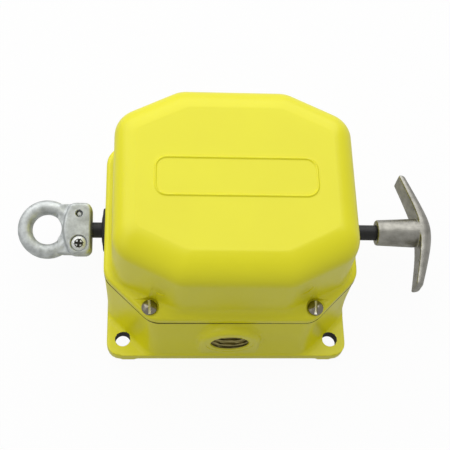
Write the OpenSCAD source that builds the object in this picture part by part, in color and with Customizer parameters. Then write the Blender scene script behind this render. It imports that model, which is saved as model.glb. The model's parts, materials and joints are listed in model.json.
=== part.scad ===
// Rope pull switch: a cast two-part housing with a sliding shaft through it.
// A rope hooks on the swivel eye at -X, and the T-handle at +X pulls the shaft back.
// Millimetres, +Z up. The origin is the centre of the foot, on the mounting plane.

/* [Base] */
// Width of the foot, along the shaft
base_w = 156; // [152:1:168]
// Depth of the foot, across the shaft
base_d = 154; // [152:1:164]
// Thickness of the foot at the mounting ears, with its pads
foot_t = 8; // [7:0.5:10]
// Corner radius of the foot
foot_r = 9.5; // [8:0.5:12]
// Height of the four raised pads under the ears
pad_t = 1.6; // [1:0.2:2.4]
// Side of each pad, from the foot's edges inward
pad_l = 21; // [19:1:26]
// Height of the joint face between base and cover
joint_z = 49; // [49:0.5:54]
// Wall of the base casting
base_wall = 5; // [4:0.5:6]
// How far the foot stands out past the joint face, in front and behind
foot_step = 7; // [5:0.5:9]
// Height of the fillet that runs from the base walls out to the foot
foot_flare = 13; // [9:1:15]

/* [Mounting holes] */
// Distance of the holes from the foot's side edges
bolt_edge_x = 11.325; // [10:0.005:13]
// Distance of the holes from the foot's front and back edges
bolt_edge_y = 11; // [9.5:0.5:13]
// Diameter of the mounting holes
bolt_hole_d = 9.5; // [8:0.5:11]

/* [Conduit entry] */
// Minor diameter of the conduit thread
conduit_d = 23.2; // [18:0.1:23.5]
// Diameter of the chamfered mouth
conduit_mouth_d = 24.6; // [24:0.1:28]
// Height of the conduit axis
conduit_z = 28; // [26:0.5:28.5]
// Radius of the conduit hub
conduit_hub_r = 19.5; // [17:0.5:20]
// How far the hub stands out of the front wall
conduit_proud = 6; // [5:0.5:6.5]
// Length of the hub inside the wall
conduit_inner = 5; // [3:0.5:8]

/* [Cover] */
// Overall height over the foot
overall_h = 106; // [106:1:116]
// Depth of the flange's corner cuts, from its square corner
flange_corner = 20.15; // [18:0.05:21]
// Thickness of the cover flange
flange_t = 5.4; // [4.5:0.1:7]
// Step from the flange in to the dome at the sides
dome_step_x = 6; // [5:0.5:8]
// Step from the flange in to the dome in front and behind
dome_step_y = 5.5; // [5:0.5:7]
// Depth of the dome's corner cuts, from its square corner
dome_corner = 17.75; // [16:0.25:19]
// Height of the dome's rounded top edge, and its width at the sides
dome_edge_r = 13; // [11:0.5:15]
// Width of the rounded top edge in front, behind and at the corners
dome_edge_w = 17.5; // [14:0.5:19]
// Plan radius where the dome's walls meet
dome_plan_r = 18; // [16:1:22]
// Draft of the dome walls, in degrees
dome_draft = 1.6; // [1:0.2:2]
// Height of the fillet from the flange up to the dome wall
dome_flare = 7; // [6:1:11]
// Wall of the cover casting
cover_wall = 4; // [3:0.5:5]
// Thickness of the gasket
gasket_t = 0.8; // [0.6:0.1:1.5]
// Length of the blank label frame on top
frame_l = 97; // [80:1:104]
// Width of the blank label frame on top
frame_w = 27; // [22:1:34]

/* [Cover screws] */
// Distance of the screws from the flange's side edges
screw_edge_x = 28; // [27:0.5:30]
// Distance of the screws from the flange's front and back edges
screw_edge_y = 7.5; // [7:0.1:8]
// Shank diameter of the cover screws
screw_d = 6.2; // [5:0.1:6.4]
// Head diameter of the cover screws
screw_head_d = 9.6; // [9:0.1:10]

/* [Shaft] */
// Diameter of the shaft
shaft_d = 10; // [8.5:0.1:10.5]
// Height of the shaft axis
shaft_z = 30.5; // [29.5:0.5:32]
// Travel when the rope is pulled
pull_travel = 12; // [8:0.5:13]
// Travel the other way, when the rope goes slack
slack_travel = 5; // [3:0.5:6]
// Outside diameter of the shaft bushings
bushing_d = 16; // [15:0.5:17]
// Diameter of the rubber wiper discs
seal_d = 28; // [25:0.5:29]
// Thickness of the wiper discs at their rim
seal_t = 1.9; // [1.5:0.1:3]
// How far the wiper disc bulges round the shaft
seal_bulge = 0.9; // [0.5:0.1:1.4]

/* [Eye] */
// Hole of the rope eye
eye_hole_d = 19.3; // [16:0.1:20]
// Radial width of the eye's round section
eye_section = 9.1; // [8:0.1:10]
// Straight land in the middle of the eye's hole
eye_land = 3; // [2:0.5:4]
// Distance from the eye's centre to the flat end of its clamp
eye_reach = 28.5; // [27.5:0.5:31]
// Width of the clamp block
clamp_w = 33.6; // [32:0.2:36]
// Length of the clamp block along the shaft
clamp_l = 17.6; // [16:0.2:19]
// Thickness of each half of the clamp
clamp_t = 9.3; // [8.6:0.1:11]
// Turn of the eye about the shaft
eye_turn = 18; // [0:1:45]
// Spacing of the two clamp screws
clamp_screw_gap = 19; // [18:0.5:20]
// Shank diameter of the clamp screws
clamp_screw_d = 4.2; // [3.5:0.1:4.4]

/* [T-handle] */
// Span of the bar from tip to tip
bar_span = 77; // [70:1:90]
// Height of the bar at its tips
bar_tip_h = 14; // [12:0.5:16]
// Height of the bar at the hub
bar_mid_h = 16; // [14:0.5:18]
// Thickness of the bar at the hub
bar_mid_t = 6.4; // [5.5:0.1:7.5]
// Thickness of the bar at its tips
bar_tip_t = 4.2; // [3:0.1:4.8]
// How far the tips are swept back
bar_sweep = 12.9; // [10:0.1:15]
// Diameter of the hub at its open end
hub_d = 17.4; // [16:0.2:19]
// Length of the hub up to the bar's outer face
hub_l = 36.7; // [34:0.1:40]

/* [Trip mechanism] */
// Length of the trip lever, as a share of the height over the shaft
lever_share = 0.4; // [0.38:0.01:0.42]
// Distance from the pivot to each roller
roller_arm = 9; // [8.5:0.5:10]
// Radius of the rollers
roller_r = 3.2; // [2.8:0.1:3.4]
// Outside diameter of the trip collar
collar_d = 19; // [17:0.5:19]
// Length of the trip collar
collar_l = 18; // [16:1:20]
// Wire diameter of the shaft springs
spring_wire = 1.8; // [1.4:0.1:2]
// Mean radius of the shaft springs
spring_r = 7.3; // [7:0.1:7.6]
// Turns of each shaft spring
spring_turns = 6; // [5:1:8]
// Length of each snap switch
snap_l = 49.2; // [46:0.2:52]
// Width of each snap switch
snap_w = 17.4; // [16:0.2:18]
// Space between the snap switches' terminals and the cover
head_room = 5.7; // [4:0.1:8]
// Diameter of the snap switch plungers
plunger_d = 5; // [4:0.1:6]
// Sheet thickness of the switch bracket
sheet = 2; // [1.5:0.1:2.5]

/* [Clearances] */
// Radial clearance of parts that turn or slide on each other
run_fit = 0.05; // [0.03:0.01:0.09]
// Radial clearance of parts that are seated in the casting
seat_fit = 0.02; // [0.01:0.01:0.05]
// Gap where a roller or pin follows its track
follow_gap = 0.4; // [0.3:0.05:0.5]

/* [Hidden] */
$fn = 64;
CORNER_STEPS = 6;

yellow = "#e8e233";
cast = "silver";
steel = "lightgray";
black = "#1c1c1e";

// Castings. Outlines hold half width, half depth, corner cut distance, its direction and corner radius
flange_d = base_d - 2 * foot_step;
flange_o = cut_corners(base_w / 2, flange_d / 2, flange_corner, 45, foot_r - 1.5);
dome_o = cut_corners(base_w / 2 - dome_step_x, flange_d / 2 - dome_step_y, dome_corner, 63, dome_plan_r);
body_step = 0.2;
body_o = inset(flange_o, body_step);
foot_o = cut_corners(base_w / 2 - body_step, base_d / 2 - body_step, flange_corner - 1, 45, foot_r - 1.5);
skirt_o = cut_corners(base_w / 2 - 2 * body_step, base_d / 2 - 1.4, flange_corner + 2, 45, foot_r - 1.5);
cover_z = joint_z + gasket_t;
flange_top = cover_z + flange_t;
flange_lip = 1.5;
dome_edge_z = overall_h - dome_edge_r;
gasket_step = 0.2;
bead_w = 1.6;
bead_h = 0.7;
frame_r = 7;
bolt_x = base_w - 2 * bolt_edge_x;
bolt_y = base_d - 2 * bolt_edge_y;
screw_x = base_w - 2 * screw_edge_x;
screw_y = flange_d - 2 * screw_edge_y;
screw_boss_r = screw_d / 2 + 4.2;
screw_hole_d = screw_d + 0.6;
seat_r = screw_head_d / 2 + 0.9;
tap_depth = 18;
hub_edge_r = 3;
hub_y = flange_d / 2 + conduit_proud;
hub_length = base_wall + conduit_proud + conduit_inner;

// Shaft and housing along X
shaft_r = shaft_d / 2;
side_face = base_w / 2;
seal_face = side_face + seal_t + seal_bulge;
inner_wall = base_w / 2 - body_step - base_wall;
shaft_boss_l = 8;
seal_boss_l = 4;
bushing_end = inner_wall - shaft_boss_l;
bushing_flange_t = 2;
spring_seat = bushing_end - bushing_flange_t;
washer_t = 1.5;
stop_gap = 1.2;
hand_gap = 5.2;
clamp_face = seal_face + slack_travel + stop_gap;
eye_x = -(clamp_face + eye_reach);
hub_x = seal_face + pull_travel + hand_gap;
hub_end = hub_x + hub_l;
socket_l = 14;
set_screw_d = 4;

neck_l = 4;
neck_r = shaft_r - 1.6;
head_l = 5;
shaft_grip = 5;
shaft_left = -(clamp_face + shaft_grip + neck_l + head_l);
shaft_right = hub_x + socket_l;

// Trip mechanism
lever_l = lever_share * (overall_h - shaft_z);
pivot_z = shaft_z + lever_l;
lever_plate = 3;
fork_gap = 0.7;
fork_in = max(collar_d / 2 + fork_gap, snap_w / 2 + 0.3 + plunger_d / 2 + 0.3);
fork_out = fork_in + lever_plate;
fork_pin_r = 3;
tube_r = 4.3;
ear_r = 2.8;
groove_w = 2 * (fork_pin_r + follow_gap);
groove_r = shaft_r + 1.8;
pull_rise = roller_arm * pull_travel / lever_l;
plate_z = pivot_z + roller_r + pull_rise + 0.8;
snap_z = plate_z + sheet;
snap_y = snap_w / 2 + 0.3;
bracket_y = 24;
bracket_l = 54;
bracket_back_h = 12;
leg_l = 40;
foot_l = 11.5;
pin_r = 2.5;
plunger_out = snap_z - (pivot_z + roller_r + 0.3);
plunger_in = 7;
terminal_gap = 17;
terminal_d = 3;
terminal_side = 0.8;
terminal_dome = 1.2;
terminal_in = 3.5;
snap_h = overall_h - cover_wall - head_room - terminal_side - terminal_dome - snap_z;
snap_screw_d = 4;
snap_screw_gap = 2 * (roller_arm + plunger_d / 2 + snap_screw_d / 2 + 1.5);
snap_screw_z = snap_z + 6;
snap_back = snap_y + snap_w / 2 + 0.3;
bracket_screw_d = 4;
leg_end = 6;
bracket_screw_x = leg_l - 2 * leg_end;
bracket_screw_y = 2 * (bracket_y + sheet + foot_l / 2);
ground_in_x = 12;
ground_in_y = 14;
ground_x = screw_x / 2 - ground_in_x;
ground_y = ground_in_y - screw_y / 2;
floor_tap = 5;
cross_pin_d = 3;

// Fasteners: heights of their heads' rims and domes, and slots
head_side = 1.5;
head_dome = 2.4;
slot_w = 1.4;
slot_t = 2;
small_side = 1;
small_dome = 1.6;
snap_head_d = 7;
ground_head_d = 9;
clamp_head_d = 9.6;
clamp_seat_d = 10.6;
clamp_seat_t = 3.4;
clamp_screw_back = 8;
clip_t = 0.8;

// ---- Outlines and lofts -------------------------------------------------

function unit(v) = v / norm(v);

// One corner p of an outline, rounded between its neighbours a and b
function corner(a, p, b, r, n) =
    let (u = unit(a - p), v = unit(b - p), half = acos(u * v) / 2)
    let (c = p + unit(u + v) * r / sin(half), s = p + u * r / tan(half) - c)
    let (start = atan2(s[1], s[0]), sweep = 180 - 2 * half)
    [for (k = [0:n]) c + r * [cos(start + sweep * k / n), sin(start + sweep * k / n)]];

function rounded(pts, r, n) =
    let (m = len(pts))
    [for (i = [0:m - 1]) each corner(pts[(i + m - 1) % m], pts[i], pts[(i + 1) % m], r, n)];

function cut_corners(w, d, corner, angle, r) =
    [w, d, w * cos(angle) + d * sin(angle) - corner, angle, r];

function inset(o, s) = [o[0] - s, o[1] - s, o[2] - s, o[3], max(o[4] - s, 1)];

function blend(a, b, t) = a * (1 - t) + b * t;

// The eight-sided plan of the castings
function outline(o) =
    let (y = (o[2] - o[0] * cos(o[3])) / sin(o[3]), x = (o[2] - o[1] * sin(o[3])) / cos(o[3]))
    let (w = o[0], d = o[1])
    rounded([[w, -y], [w, y], [x, d], [-x, d], [-w, y], [-w, -y], [-x, -d], [x, -d]],
        o[4], CORNER_STEPS);

function at_height(pts, z) = [for (p = pts) [p[0], p[1], z]];

function level(o, z) = at_height(outline(o), z);

// A closed solid through rings that all have the same number of points
module skin(rings) {
    n = len(rings[0]);
    m = len(rings);
    bottom = [[for (i = [0:n - 1]) i]];
    top = [[for (i = [n - 1:-1:0]) (m - 1) * n + i]];
    sides = [for (j = [0:m - 2], i = [0:n - 1])
        let (a = j * n + i, b = j * n + (i + 1) % n)
        each [[a, a + n, b + n], [a, b + n, b]]];
    polyhedron(points = [for (r = rings) each r], faces = concat(bottom, sides, top));
}

module rounded_rect(w, d, r) {
    square([w - 2 * r, d], center = true);
    square([w, d - 2 * r], center = true);
    for (x = [-1, 1], y = [-1, 1])
        translate([x * (w / 2 - r), y * (d / 2 - r)]) circle(r);
}

module at_corners(x, y) {
    for (i = [-1, 1], j = [-1, 1]) translate([i * x / 2, j * y / 2, 0]) children();
}

module along_x(x) {
    translate([x, 0, shaft_z]) rotate([0, 90, 0]) children();
}

// ---- Castings -----------------------------------------------------------

function dome_at(z) = inset(dome_o, -(dome_edge_z - z) * tan(dome_draft));

// The base walls lean out from the joint face to the foot
function body_at(z) = blend(body_o, skirt_o, (joint_z - z) / (joint_z - foot_t));

FLARE_STEPS = 6;
EDGE_STEPS = 8;
CAVITY_STEPS = 4;

function flare(from, base_z, h, wall_z) =
    [for (k = [1:FLARE_STEPS])
        let (b = 90 * k / FLARE_STEPS, z = base_z + h * (1 - cos(b)))
        level(blend(from, wall_z(z), sin(b)), z)];

// The dome's rounded top edge, set in by a wall
function top_edge(wall, n) =
    let (o = inset(dome_o, wall), h = dome_edge_r - wall, w = dome_edge_w - wall)
    [for (k = [0:n])
        let (b = 90 * k / n, x = h * (1 - cos(b)), y = w * (1 - cos(b)))
        level([o[0] - x, o[1] - y, o[2] - y, o[3], o[4] - x], dome_edge_z + h * sin(b))];

module cover_shell() {
    lip = [for (k = [0:3])
        let (b = 30 * k)
        level(inset(flange_o, flange_lip * (1 - cos(b))), flange_top - flange_lip * (1 - sin(b)))];
    skin(concat(
        [level(flange_o, cover_z)],
        lip,
        flare(inset(flange_o, flange_lip), flange_top, dome_flare, function(z) dome_at(z)),
        top_edge(0, EDGE_STEPS)));
}

module cover_cavity() {
    low = cover_z - 1;
    skin(concat(
        [level(inset(dome_at(low), cover_wall), low)],
        top_edge(cover_wall, CAVITY_STEPS)));
}

// A flat seat for one cover screw, open towards the flange's corner cut
module screw_seat() {
    cylinder(r = seat_r, h = screw_edge_x);
    translate([0, -seat_r, 0]) cube(screw_edge_x + 5);
}

module cover() {
    color(yellow) difference() {
        union() {
            cover_shell();
            // the raised frame of the blank label field
            translate([0, 0, overall_h - 1]) linear_extrude(1 + bead_h) difference() {
                rounded_rect(frame_l, frame_w, frame_r);
                rounded_rect(frame_l - 2 * bead_w, frame_w - 2 * bead_w, frame_r - bead_w);
            }
        }
        cover_cavity();
        for (i = [0, 1], j = [0, 1]) mirror([i, 0, 0]) mirror([0, j, 0])
            translate([screw_x / 2, screw_y / 2, flange_top]) screw_seat();
        translate([0, 0, cover_z - 1]) at_corners(screw_x, screw_y)
            cylinder(d = screw_hole_d, h = flange_t + 4);
    }
}

module cover_gasket() {
    color(black) translate([0, 0, joint_z]) linear_extrude(gasket_t) difference() {
        polygon(outline(inset(flange_o, gasket_step)));
        difference() {
            polygon(outline(inset(body_o, base_wall)));
            at_corners(screw_x, screw_y) circle(screw_boss_r);
        }
        at_corners(screw_x, screw_y) circle(d = screw_hole_d);
    }
}

module base_outside() {
    low = pad_t + 1;
    skin(concat(
        [level(foot_o, low), level(foot_o, foot_t)],
        flare(foot_o, foot_t, foot_flare, function(z) body_at(z)),
        [level(body_o, joint_z)]));
    translate([0, 0, pad_t]) linear_extrude(foot_t - pad_t) rounded_rect(base_w, base_d, foot_r);
    // the four pads that stand on the mounting surface
    intersection() {
        linear_extrude(pad_t + 1) rounded_rect(base_w, base_d, foot_r);
        at_corners(base_w - pad_l, base_d - pad_l)
            linear_extrude(pad_t + 1) rounded_rect(pad_l, pad_l, 3);
    }
}

// The conduit hub and the pad below it, with a rounded front edge all round
module conduit_hub() {
    flat = conduit_hub_r - hub_edge_r;
    translate([0, -hub_y, conduit_z]) rotate([-90, 0, 0]) rotate_extrude() {
        translate([0, hub_edge_r]) square([conduit_hub_r, hub_length - hub_edge_r]);
        square([flat, hub_edge_r + 1]);
        translate([flat, hub_edge_r]) circle(hub_edge_r);
    }
    translate([0, -hub_y, pad_t]) linear_extrude(conduit_z - pad_t) {
        translate([-conduit_hub_r, hub_edge_r])
            square([2 * conduit_hub_r, hub_length - hub_edge_r]);
        translate([-flat, 0]) square([2 * flat, hub_edge_r + 1]);
        for (x = [-flat, flat]) translate([x, hub_edge_r]) circle(hub_edge_r);
    }
}

// Bore and chamfer of the conduit entry
module conduit_bore() {
    chamfer = (conduit_mouth_d - conduit_d) / 2;
    translate([0, -hub_y, conduit_z]) rotate([-90, 0, 0]) {
        translate([0, 0, -1]) cylinder(d = conduit_d, h = hub_length + 2);
        translate([0, 0, -0.01]) cylinder(d1 = conduit_mouth_d, d2 = conduit_d, h = chamfer);
    }
}

module base_housing() {
    color(yellow) difference() {
        union() {
            base_outside();
            conduit_hub();
            // flat seats for the wiper discs
            for (s = [-1, 1]) along_x(s > 0 ? side_face - seal_boss_l : -side_face)
                cylinder(r = seal_d / 2 + 1, h = seal_boss_l);
        }
        difference() {
            translate([0, 0, foot_t]) linear_extrude(joint_z)
                polygon(outline(inset(body_o, base_wall)));
            at_corners(screw_x, screw_y) cylinder(r = screw_boss_r, h = joint_z);
            conduit_hub();
            for (s = [-1, 1]) along_x(s > 0 ? bushing_end : -inner_wall - 1)
                cylinder(r = bushing_d / 2 + 4, h = shaft_boss_l + 1);
        }
        conduit_bore();
        along_x(-side_face - 1) cylinder(d = bushing_d + 2 * seat_fit, h = base_w + 2);
        translate([0, 0, -1]) at_corners(bolt_x, bolt_y) cylinder(d = bolt_hole_d, h = foot_t + foot_flare);
        translate([0, 0, joint_z - tap_depth]) at_corners(screw_x, screw_y)
            cylinder(d = screw_d + 2 * seat_fit, h = tap_depth + 1);
        translate([0, 0, foot_t - floor_tap]) at_corners(bracket_screw_x, bracket_screw_y)
            cylinder(d = bracket_screw_d + 2 * seat_fit, h = 2 * floor_tap);
        translate([ground_x, ground_y, foot_t - floor_tap])
            cylinder(d = bracket_screw_d + 2 * seat_fit, h = 2 * floor_tap);
    }
}

// ---- Fasteners ----------------------------------------------------------

// Radius of the ball whose cap has rim radius a and height h
function cap_r(a, h) = (a * a + h * h) / (2 * h);

module domed_head(d, side, dome) {
    r = cap_r(d / 2, dome);
    cylinder(d = d, h = side);
    intersection() {
        translate([0, 0, side + dome - r]) sphere(r);
        cylinder(d = d, h = side + dome);
    }
}

module slotted_screw(d, head_d, side, dome, shank, turn) {
    difference() {
        domed_head(head_d, side, dome);
        rotate([0, 0, turn]) translate([-head_d, -slot_w / 2, side + dome - slot_t])
            cube([2 * head_d, slot_w, 2 * slot_t]);
    }
    translate([0, 0, -shank]) cylinder(d = d, h = shank);
}

module cross_screw(d, head_d, side, dome, shank) {
    difference() {
        domed_head(head_d, side, dome);
        for (a = [0, 90]) rotate([0, 0, a])
            translate([-head_d / 4, -head_d / 14, side])
                cube([head_d / 2, head_d / 7, 2 * dome]);
    }
    translate([0, 0, -shank]) cylinder(d = d, h = shank);
}

module cover_screws() {
    turns = [[94, 97], [86, 80]];
    shank = flange_t + gasket_t + tap_depth - 3;
    color(steel) for (i = [0, 1], j = [0, 1])
        translate([(i - 0.5) * screw_x, (j - 0.5) * screw_y, flange_top])
            slotted_screw(screw_d, screw_head_d, head_side, head_dome, shank, turns[i][j]);
}

module bracket_screws() {
    color(steel) translate([0, 0, foot_t + sheet]) at_corners(bracket_screw_x, bracket_screw_y)
        cross_screw(bracket_screw_d, 2 * bracket_screw_d, small_side, small_dome, sheet + floor_tap - 1);
}

module ground_screw() {
    color("seagreen") translate([ground_x, ground_y, foot_t])
        cross_screw(bracket_screw_d, ground_head_d, small_side, small_dome, floor_tap - 0.5);
}

// ---- Shaft and what rides on it ----------------------------------------

module shaft() {
    body = shaft_right + clamp_face + shaft_grip;
    color(black) difference() {
        union() {
            along_x(shaft_left) cylinder(r = shaft_r, h = head_l);
            along_x(shaft_left + head_l - 0.5) cylinder(r = neck_r, h = neck_l + 1);
            along_x(shaft_right - body) cylinder(r = shaft_r, h = body);
        }
        translate([0, 0, shaft_z - shaft_r - 1]) cylinder(d = cross_pin_d + 2 * seat_fit, h = shaft_d + 2);
    }
}

module bushing() {
    rotate([0, 90, 0]) difference() {
        union() {
            translate([0, 0, bushing_end]) cylinder(d = bushing_d, h = side_face - bushing_end);
            translate([0, 0, spring_seat]) cylinder(d = bushing_d + 5, h = bushing_flange_t);
        }
        cylinder(r = shaft_r + run_fit, h = side_face + 1);
    }
}

module left_bushing() {
    color("goldenrod") translate([0, 0, shaft_z]) mirror([1, 0, 0]) bushing();
}

module right_bushing() {
    color("goldenrod") translate([0, 0, shaft_z]) bushing();
}

// Rubber disc that wipes the shaft: a flat rim and a low bulge
module wiper_seal() {
    rotate([0, 90, 0]) difference() {
        union() {
            translate([0, 0, side_face]) cylinder(d = seal_d, h = seal_t);
            translate([0, 0, side_face + seal_t])
                cylinder(d1 = seal_d - 1, d2 = shaft_d + 4, h = seal_bulge);
        }
        translate([0, 0, side_face - 1]) cylinder(r = shaft_r + run_fit, h = 3 + seal_t + seal_bulge);
    }
}

module left_wiper_seal() {
    color(black) translate([0, 0, shaft_z]) mirror([1, 0, 0]) wiper_seal();
}

module right_wiper_seal() {
    color(black) translate([0, 0, shaft_z]) wiper_seal();
}

module trip_collar() {
    color(steel) difference() {
        along_x(-collar_l / 2) cylinder(d = collar_d, h = collar_l);
        difference() {
            along_x(-groove_w / 2) cylinder(d = collar_d + 2, h = groove_w);
            along_x(-groove_w / 2 - 1) cylinder(r = groove_r, h = groove_w + 2);
        }
        along_x(-collar_l) cylinder(r = shaft_r + seat_fit, h = 2 * collar_l);
        translate([0, 0, shaft_z - collar_d]) cylinder(d = cross_pin_d + 2 * seat_fit, h = 2 * collar_d);
    }
}

module collar_pin() {
    color(steel) translate([0, 0, shaft_z - groove_r]) cylinder(d = cross_pin_d, h = 2 * groove_r);
}

module spring_washers() {
    color(steel) for (s = [-1, 1]) along_x(s > 0 ? collar_l / 2 : -collar_l / 2 - washer_t)
        difference() {
            cylinder(d = collar_d - 0.4, h = washer_t);
            translate([0, 0, -1]) cylinder(r = shaft_r + seat_fit, h = washer_t + 2);
        }
}

// Distance along a spring after t turns, with one closed turn at each end
function spring_x(t, turns, length, wire) =
    let (closed = wire * 1.04, open = (length - wire - 2 * closed) / (turns - 2))
    wire / 2 + closed * min(t, 1) + open * max(0, min(t, turns - 1) - 1)
        + closed * max(0, t - turns + 1);

module coil_spring(length) {
    steps = 14;
    sides = 8;
    skin([for (k = [0:spring_turns * steps])
        let (t = k / steps, a = 360 * t, x = spring_x(t, spring_turns, length, spring_wire))
        [for (i = [0:sides - 1])
            let (b = -360 * i / sides, r = spring_r + spring_wire / 2 * cos(b))
            [r * cos(a), r * sin(a), x + spring_wire / 2 * sin(b)]]]);
}

spring_gap = 0.1;
spring_l = spring_seat - collar_l / 2 - washer_t - 2 * spring_gap;

module pull_spring() {
    color(steel) along_x(-spring_seat + spring_gap) coil_spring(spring_l);
}

module slack_spring() {
    color(steel) along_x(spring_seat - spring_gap - spring_l) coil_spring(spring_l);
}

// ---- Eye ----------------------------------------------------------------

// Flat end with rounded corners, and a bowed side towards the eye
module clamp_outline(s) {
    bow_r = 26;
    intersection() {
        translate([eye_reach - clamp_l + bow_r, 0]) circle(bow_r - s, $fn = 128);
        translate([eye_reach - clamp_l, 0])
            rounded_rect(2 * clamp_l - 2 * s, clamp_w - 2 * s, 6 - s);
    }
}

// One of the two like castings: its split face lies at z = 0
module eye_half() {
    land = eye_land / 2;
    mid_r = eye_hole_d / 2 + eye_section / 2;
    edge = 1.6;
    web_x = eye_reach - clamp_l;
    screw_at = eye_reach - clamp_screw_back;
    fit_r = shaft_r + run_fit;
    end_gap = 0.1;
    difference() {
        union() {
            rotate_extrude() intersection() {
                union() {
                    translate([mid_r, land]) circle(eye_section / 2, $fn = 48);
                    translate([mid_r - eye_section / 2, 0]) square([eye_section, land]);
                }
                square([2 * mid_r, eye_section]);
            }
            translate([web_x + 0.4, 1.5 - clamp_w / 2, 0]) cube([clamp_l / 2, clamp_w - 3, clamp_t / 2]);
            hull() {
                linear_extrude(clamp_t - edge) clamp_outline(0);
                linear_extrude(clamp_t) clamp_outline(edge);
            }
        }
        translate([0, 0, -1]) cylinder(d = eye_hole_d, h = clamp_t + 2);
        // room for the shaft, its neck and its head
        rotate([0, 90, 0]) {
            translate([0, 0, eye_reach - shaft_grip - end_gap])
                cylinder(r = fit_r, h = shaft_grip + 1);
            translate([0, 0, eye_reach - shaft_grip - neck_l])
                cylinder(r = neck_r + run_fit, h = neck_l + 1);
            translate([0, 0, eye_reach - shaft_grip - neck_l - head_l - end_gap])
                cylinder(r = fit_r, h = head_l + 2 * end_gap);
        }
        for (s = [-1, 1]) translate([screw_at, s * clamp_screw_gap / 2, -1])
            cylinder(d = clamp_screw_d + 2 * seat_fit, h = clamp_t + 2);
        // the seat of this half's screw head
        translate([screw_at, -clamp_screw_gap / 2, clamp_t - clamp_seat_t])
            cylinder(d = clamp_seat_d, h = clamp_seat_t + 1);
    }
}

module at_eye() {
    translate([eye_x, 0, shaft_z]) rotate([eye_turn, 0, 0]) children();
}

module eye_front_half() {
    color(cast) at_eye() eye_half();
}

module eye_back_half() {
    color(cast) at_eye() rotate([180, 0, 0]) eye_half();
}

module eye_clamp_screws() {
    color("white") at_eye() for (a = [0, 180]) rotate([a, 0, 0])
        translate([eye_reach - clamp_screw_back, -clamp_screw_gap / 2, clamp_t - clamp_seat_t])
            cross_screw(clamp_screw_d, clamp_head_d, small_dome, small_dome,
                2 * clamp_t - clamp_seat_t - 2);
}

// ---- T-handle -----------------------------------------------------------

// Outer face of the bar, a hyperbola that is flat at the hub and straight at the tips
function bar_drop(y) =
    let (soft = 3.7, slope = sqrt(pow(bar_sweep + soft, 2) - soft * soft) / (bar_span / 2))
    sqrt(soft * soft + pow(slope * y, 2)) - soft;

function bar_ring(y, shrink) =
    let (v = abs(y) / (bar_span / 2))
    let (h = bar_mid_h + (bar_tip_h - bar_mid_h) * v - 2 * shrink)
    let (t = bar_mid_t + (bar_tip_t - bar_mid_t) * v * v - 2 * shrink)
    let (r = min(1.5, t / 2 - 0.2), x = hub_end - bar_drop(y) - t - shrink)
    at_height(rounded([[x, -h / 2], [x + t, -h / 2], [x + t, h / 2], [x, h / 2]], r, 3), y);

module bar() {
    steps = 12;
    tip = bar_span / 2;
    inner = [for (k = [-steps:steps]) bar_ring((tip - 0.8) * k / steps, 0)];
    translate([0, 0, shaft_z]) rotate([-90, 0, 0])
        skin(concat([bar_ring(-tip, 0.6)], inner, [bar_ring(tip, 0.6)]));
}

module t_handle() {
    color(cast) difference() {
        union() {
            along_x(hub_x) cylinder(d1 = hub_d, d2 = hub_d + 2, h = hub_l - bar_mid_t / 2 - 0.4);
            bar();
        }
        along_x(hub_x - 1) cylinder(r = shaft_r + seat_fit, h = socket_l + 1);
        translate([hub_x + socket_l / 2, 0, shaft_z - hub_d])
            cylinder(d = set_screw_d + 2 * seat_fit, h = hub_d);
    }
}

module handle_set_screw() {
    color(steel) translate([hub_x + socket_l / 2, 0, shaft_z - hub_d / 2 + 0.4])
        cylinder(d = set_screw_d, h = hub_d / 2 - shaft_r - 0.4);
}

// ---- Trip lever and snap switches --------------------------------------

// One side plate of the trip lever, in the plane of its swing
module lever_side(ear) {
    difference() {
        union() {
            translate([0, shaft_z]) circle(4.2);
            translate([0, pivot_z]) circle(tube_r + 1.1);
            polygon([[-3.4, shaft_z], [3.4, shaft_z], [4.6, pivot_z], [-4.6, pivot_z]]);
            translate([ear * roller_arm, pivot_z]) circle(ear_r);
            translate([ear * roller_arm / 2, pivot_z]) square([roller_arm, 2 * ear_r], center = true);
        }
        translate([ear * roller_arm, pivot_z]) circle(roller_pin_r + seat_fit);
    }
}

module trip_lever() {
    tube_end = bracket_y - 0.5;
    color(steel) difference() {
        union() {
            for (s = [-1, 1]) translate([0, s > 0 ? fork_out : -fork_in, 0])
                rotate([90, 0, 0]) linear_extrude(lever_plate) lever_side(s);
            translate([0, tube_end, pivot_z]) rotate([90, 0, 0]) cylinder(r = tube_r, h = 2 * tube_end);
            for (s = [-1, 1]) translate([0, s > 0 ? fork_in + 1 : -groove_r - 0.6, shaft_z])
                rotate([90, 0, 0]) cylinder(r = fork_pin_r, h = fork_in + 0.4 - groove_r);
        }
        translate([0, bracket_y, pivot_z]) rotate([90, 0, 0])
            cylinder(r = pin_r + run_fit, h = 2 * bracket_y);
    }
}

module lever_pin() {
    reach = bracket_y + sheet;
    color(steel) translate([0, 0, pivot_z]) rotate([-90, 0, 0]) difference() {
        union() {
            translate([0, 0, -reach]) cylinder(r = pin_r, h = 2 * reach + clip_t + 1.8);
            translate([0, 0, -reach - small_dome]) cylinder(r = pin_r + 1.5, h = small_dome);
        }
        difference() {
            translate([0, 0, reach + 0.3]) cylinder(r = pin_r + 1, h = clip_t + 0.2);
            translate([0, 0, reach]) cylinder(r = pin_r - 0.6, h = clip_t + 1);
        }
    }
}

module lever_pin_clip() {
    color(steel) translate([0, bracket_y + sheet + 0.4, pivot_z]) rotate([-90, 0, 0])
        linear_extrude(clip_t) difference() {
            circle(pin_r + 2);
            circle(pin_r - 0.6 + seat_fit);
            translate([0, -pin_r - 2]) square([2 * (pin_r - 0.6), 2 * pin_r], center = true);
        }
}

roller_w = 4.6;
roller_pin_r = 1.5;
roller_in = fork_in - 0.3 - roller_w;

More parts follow.
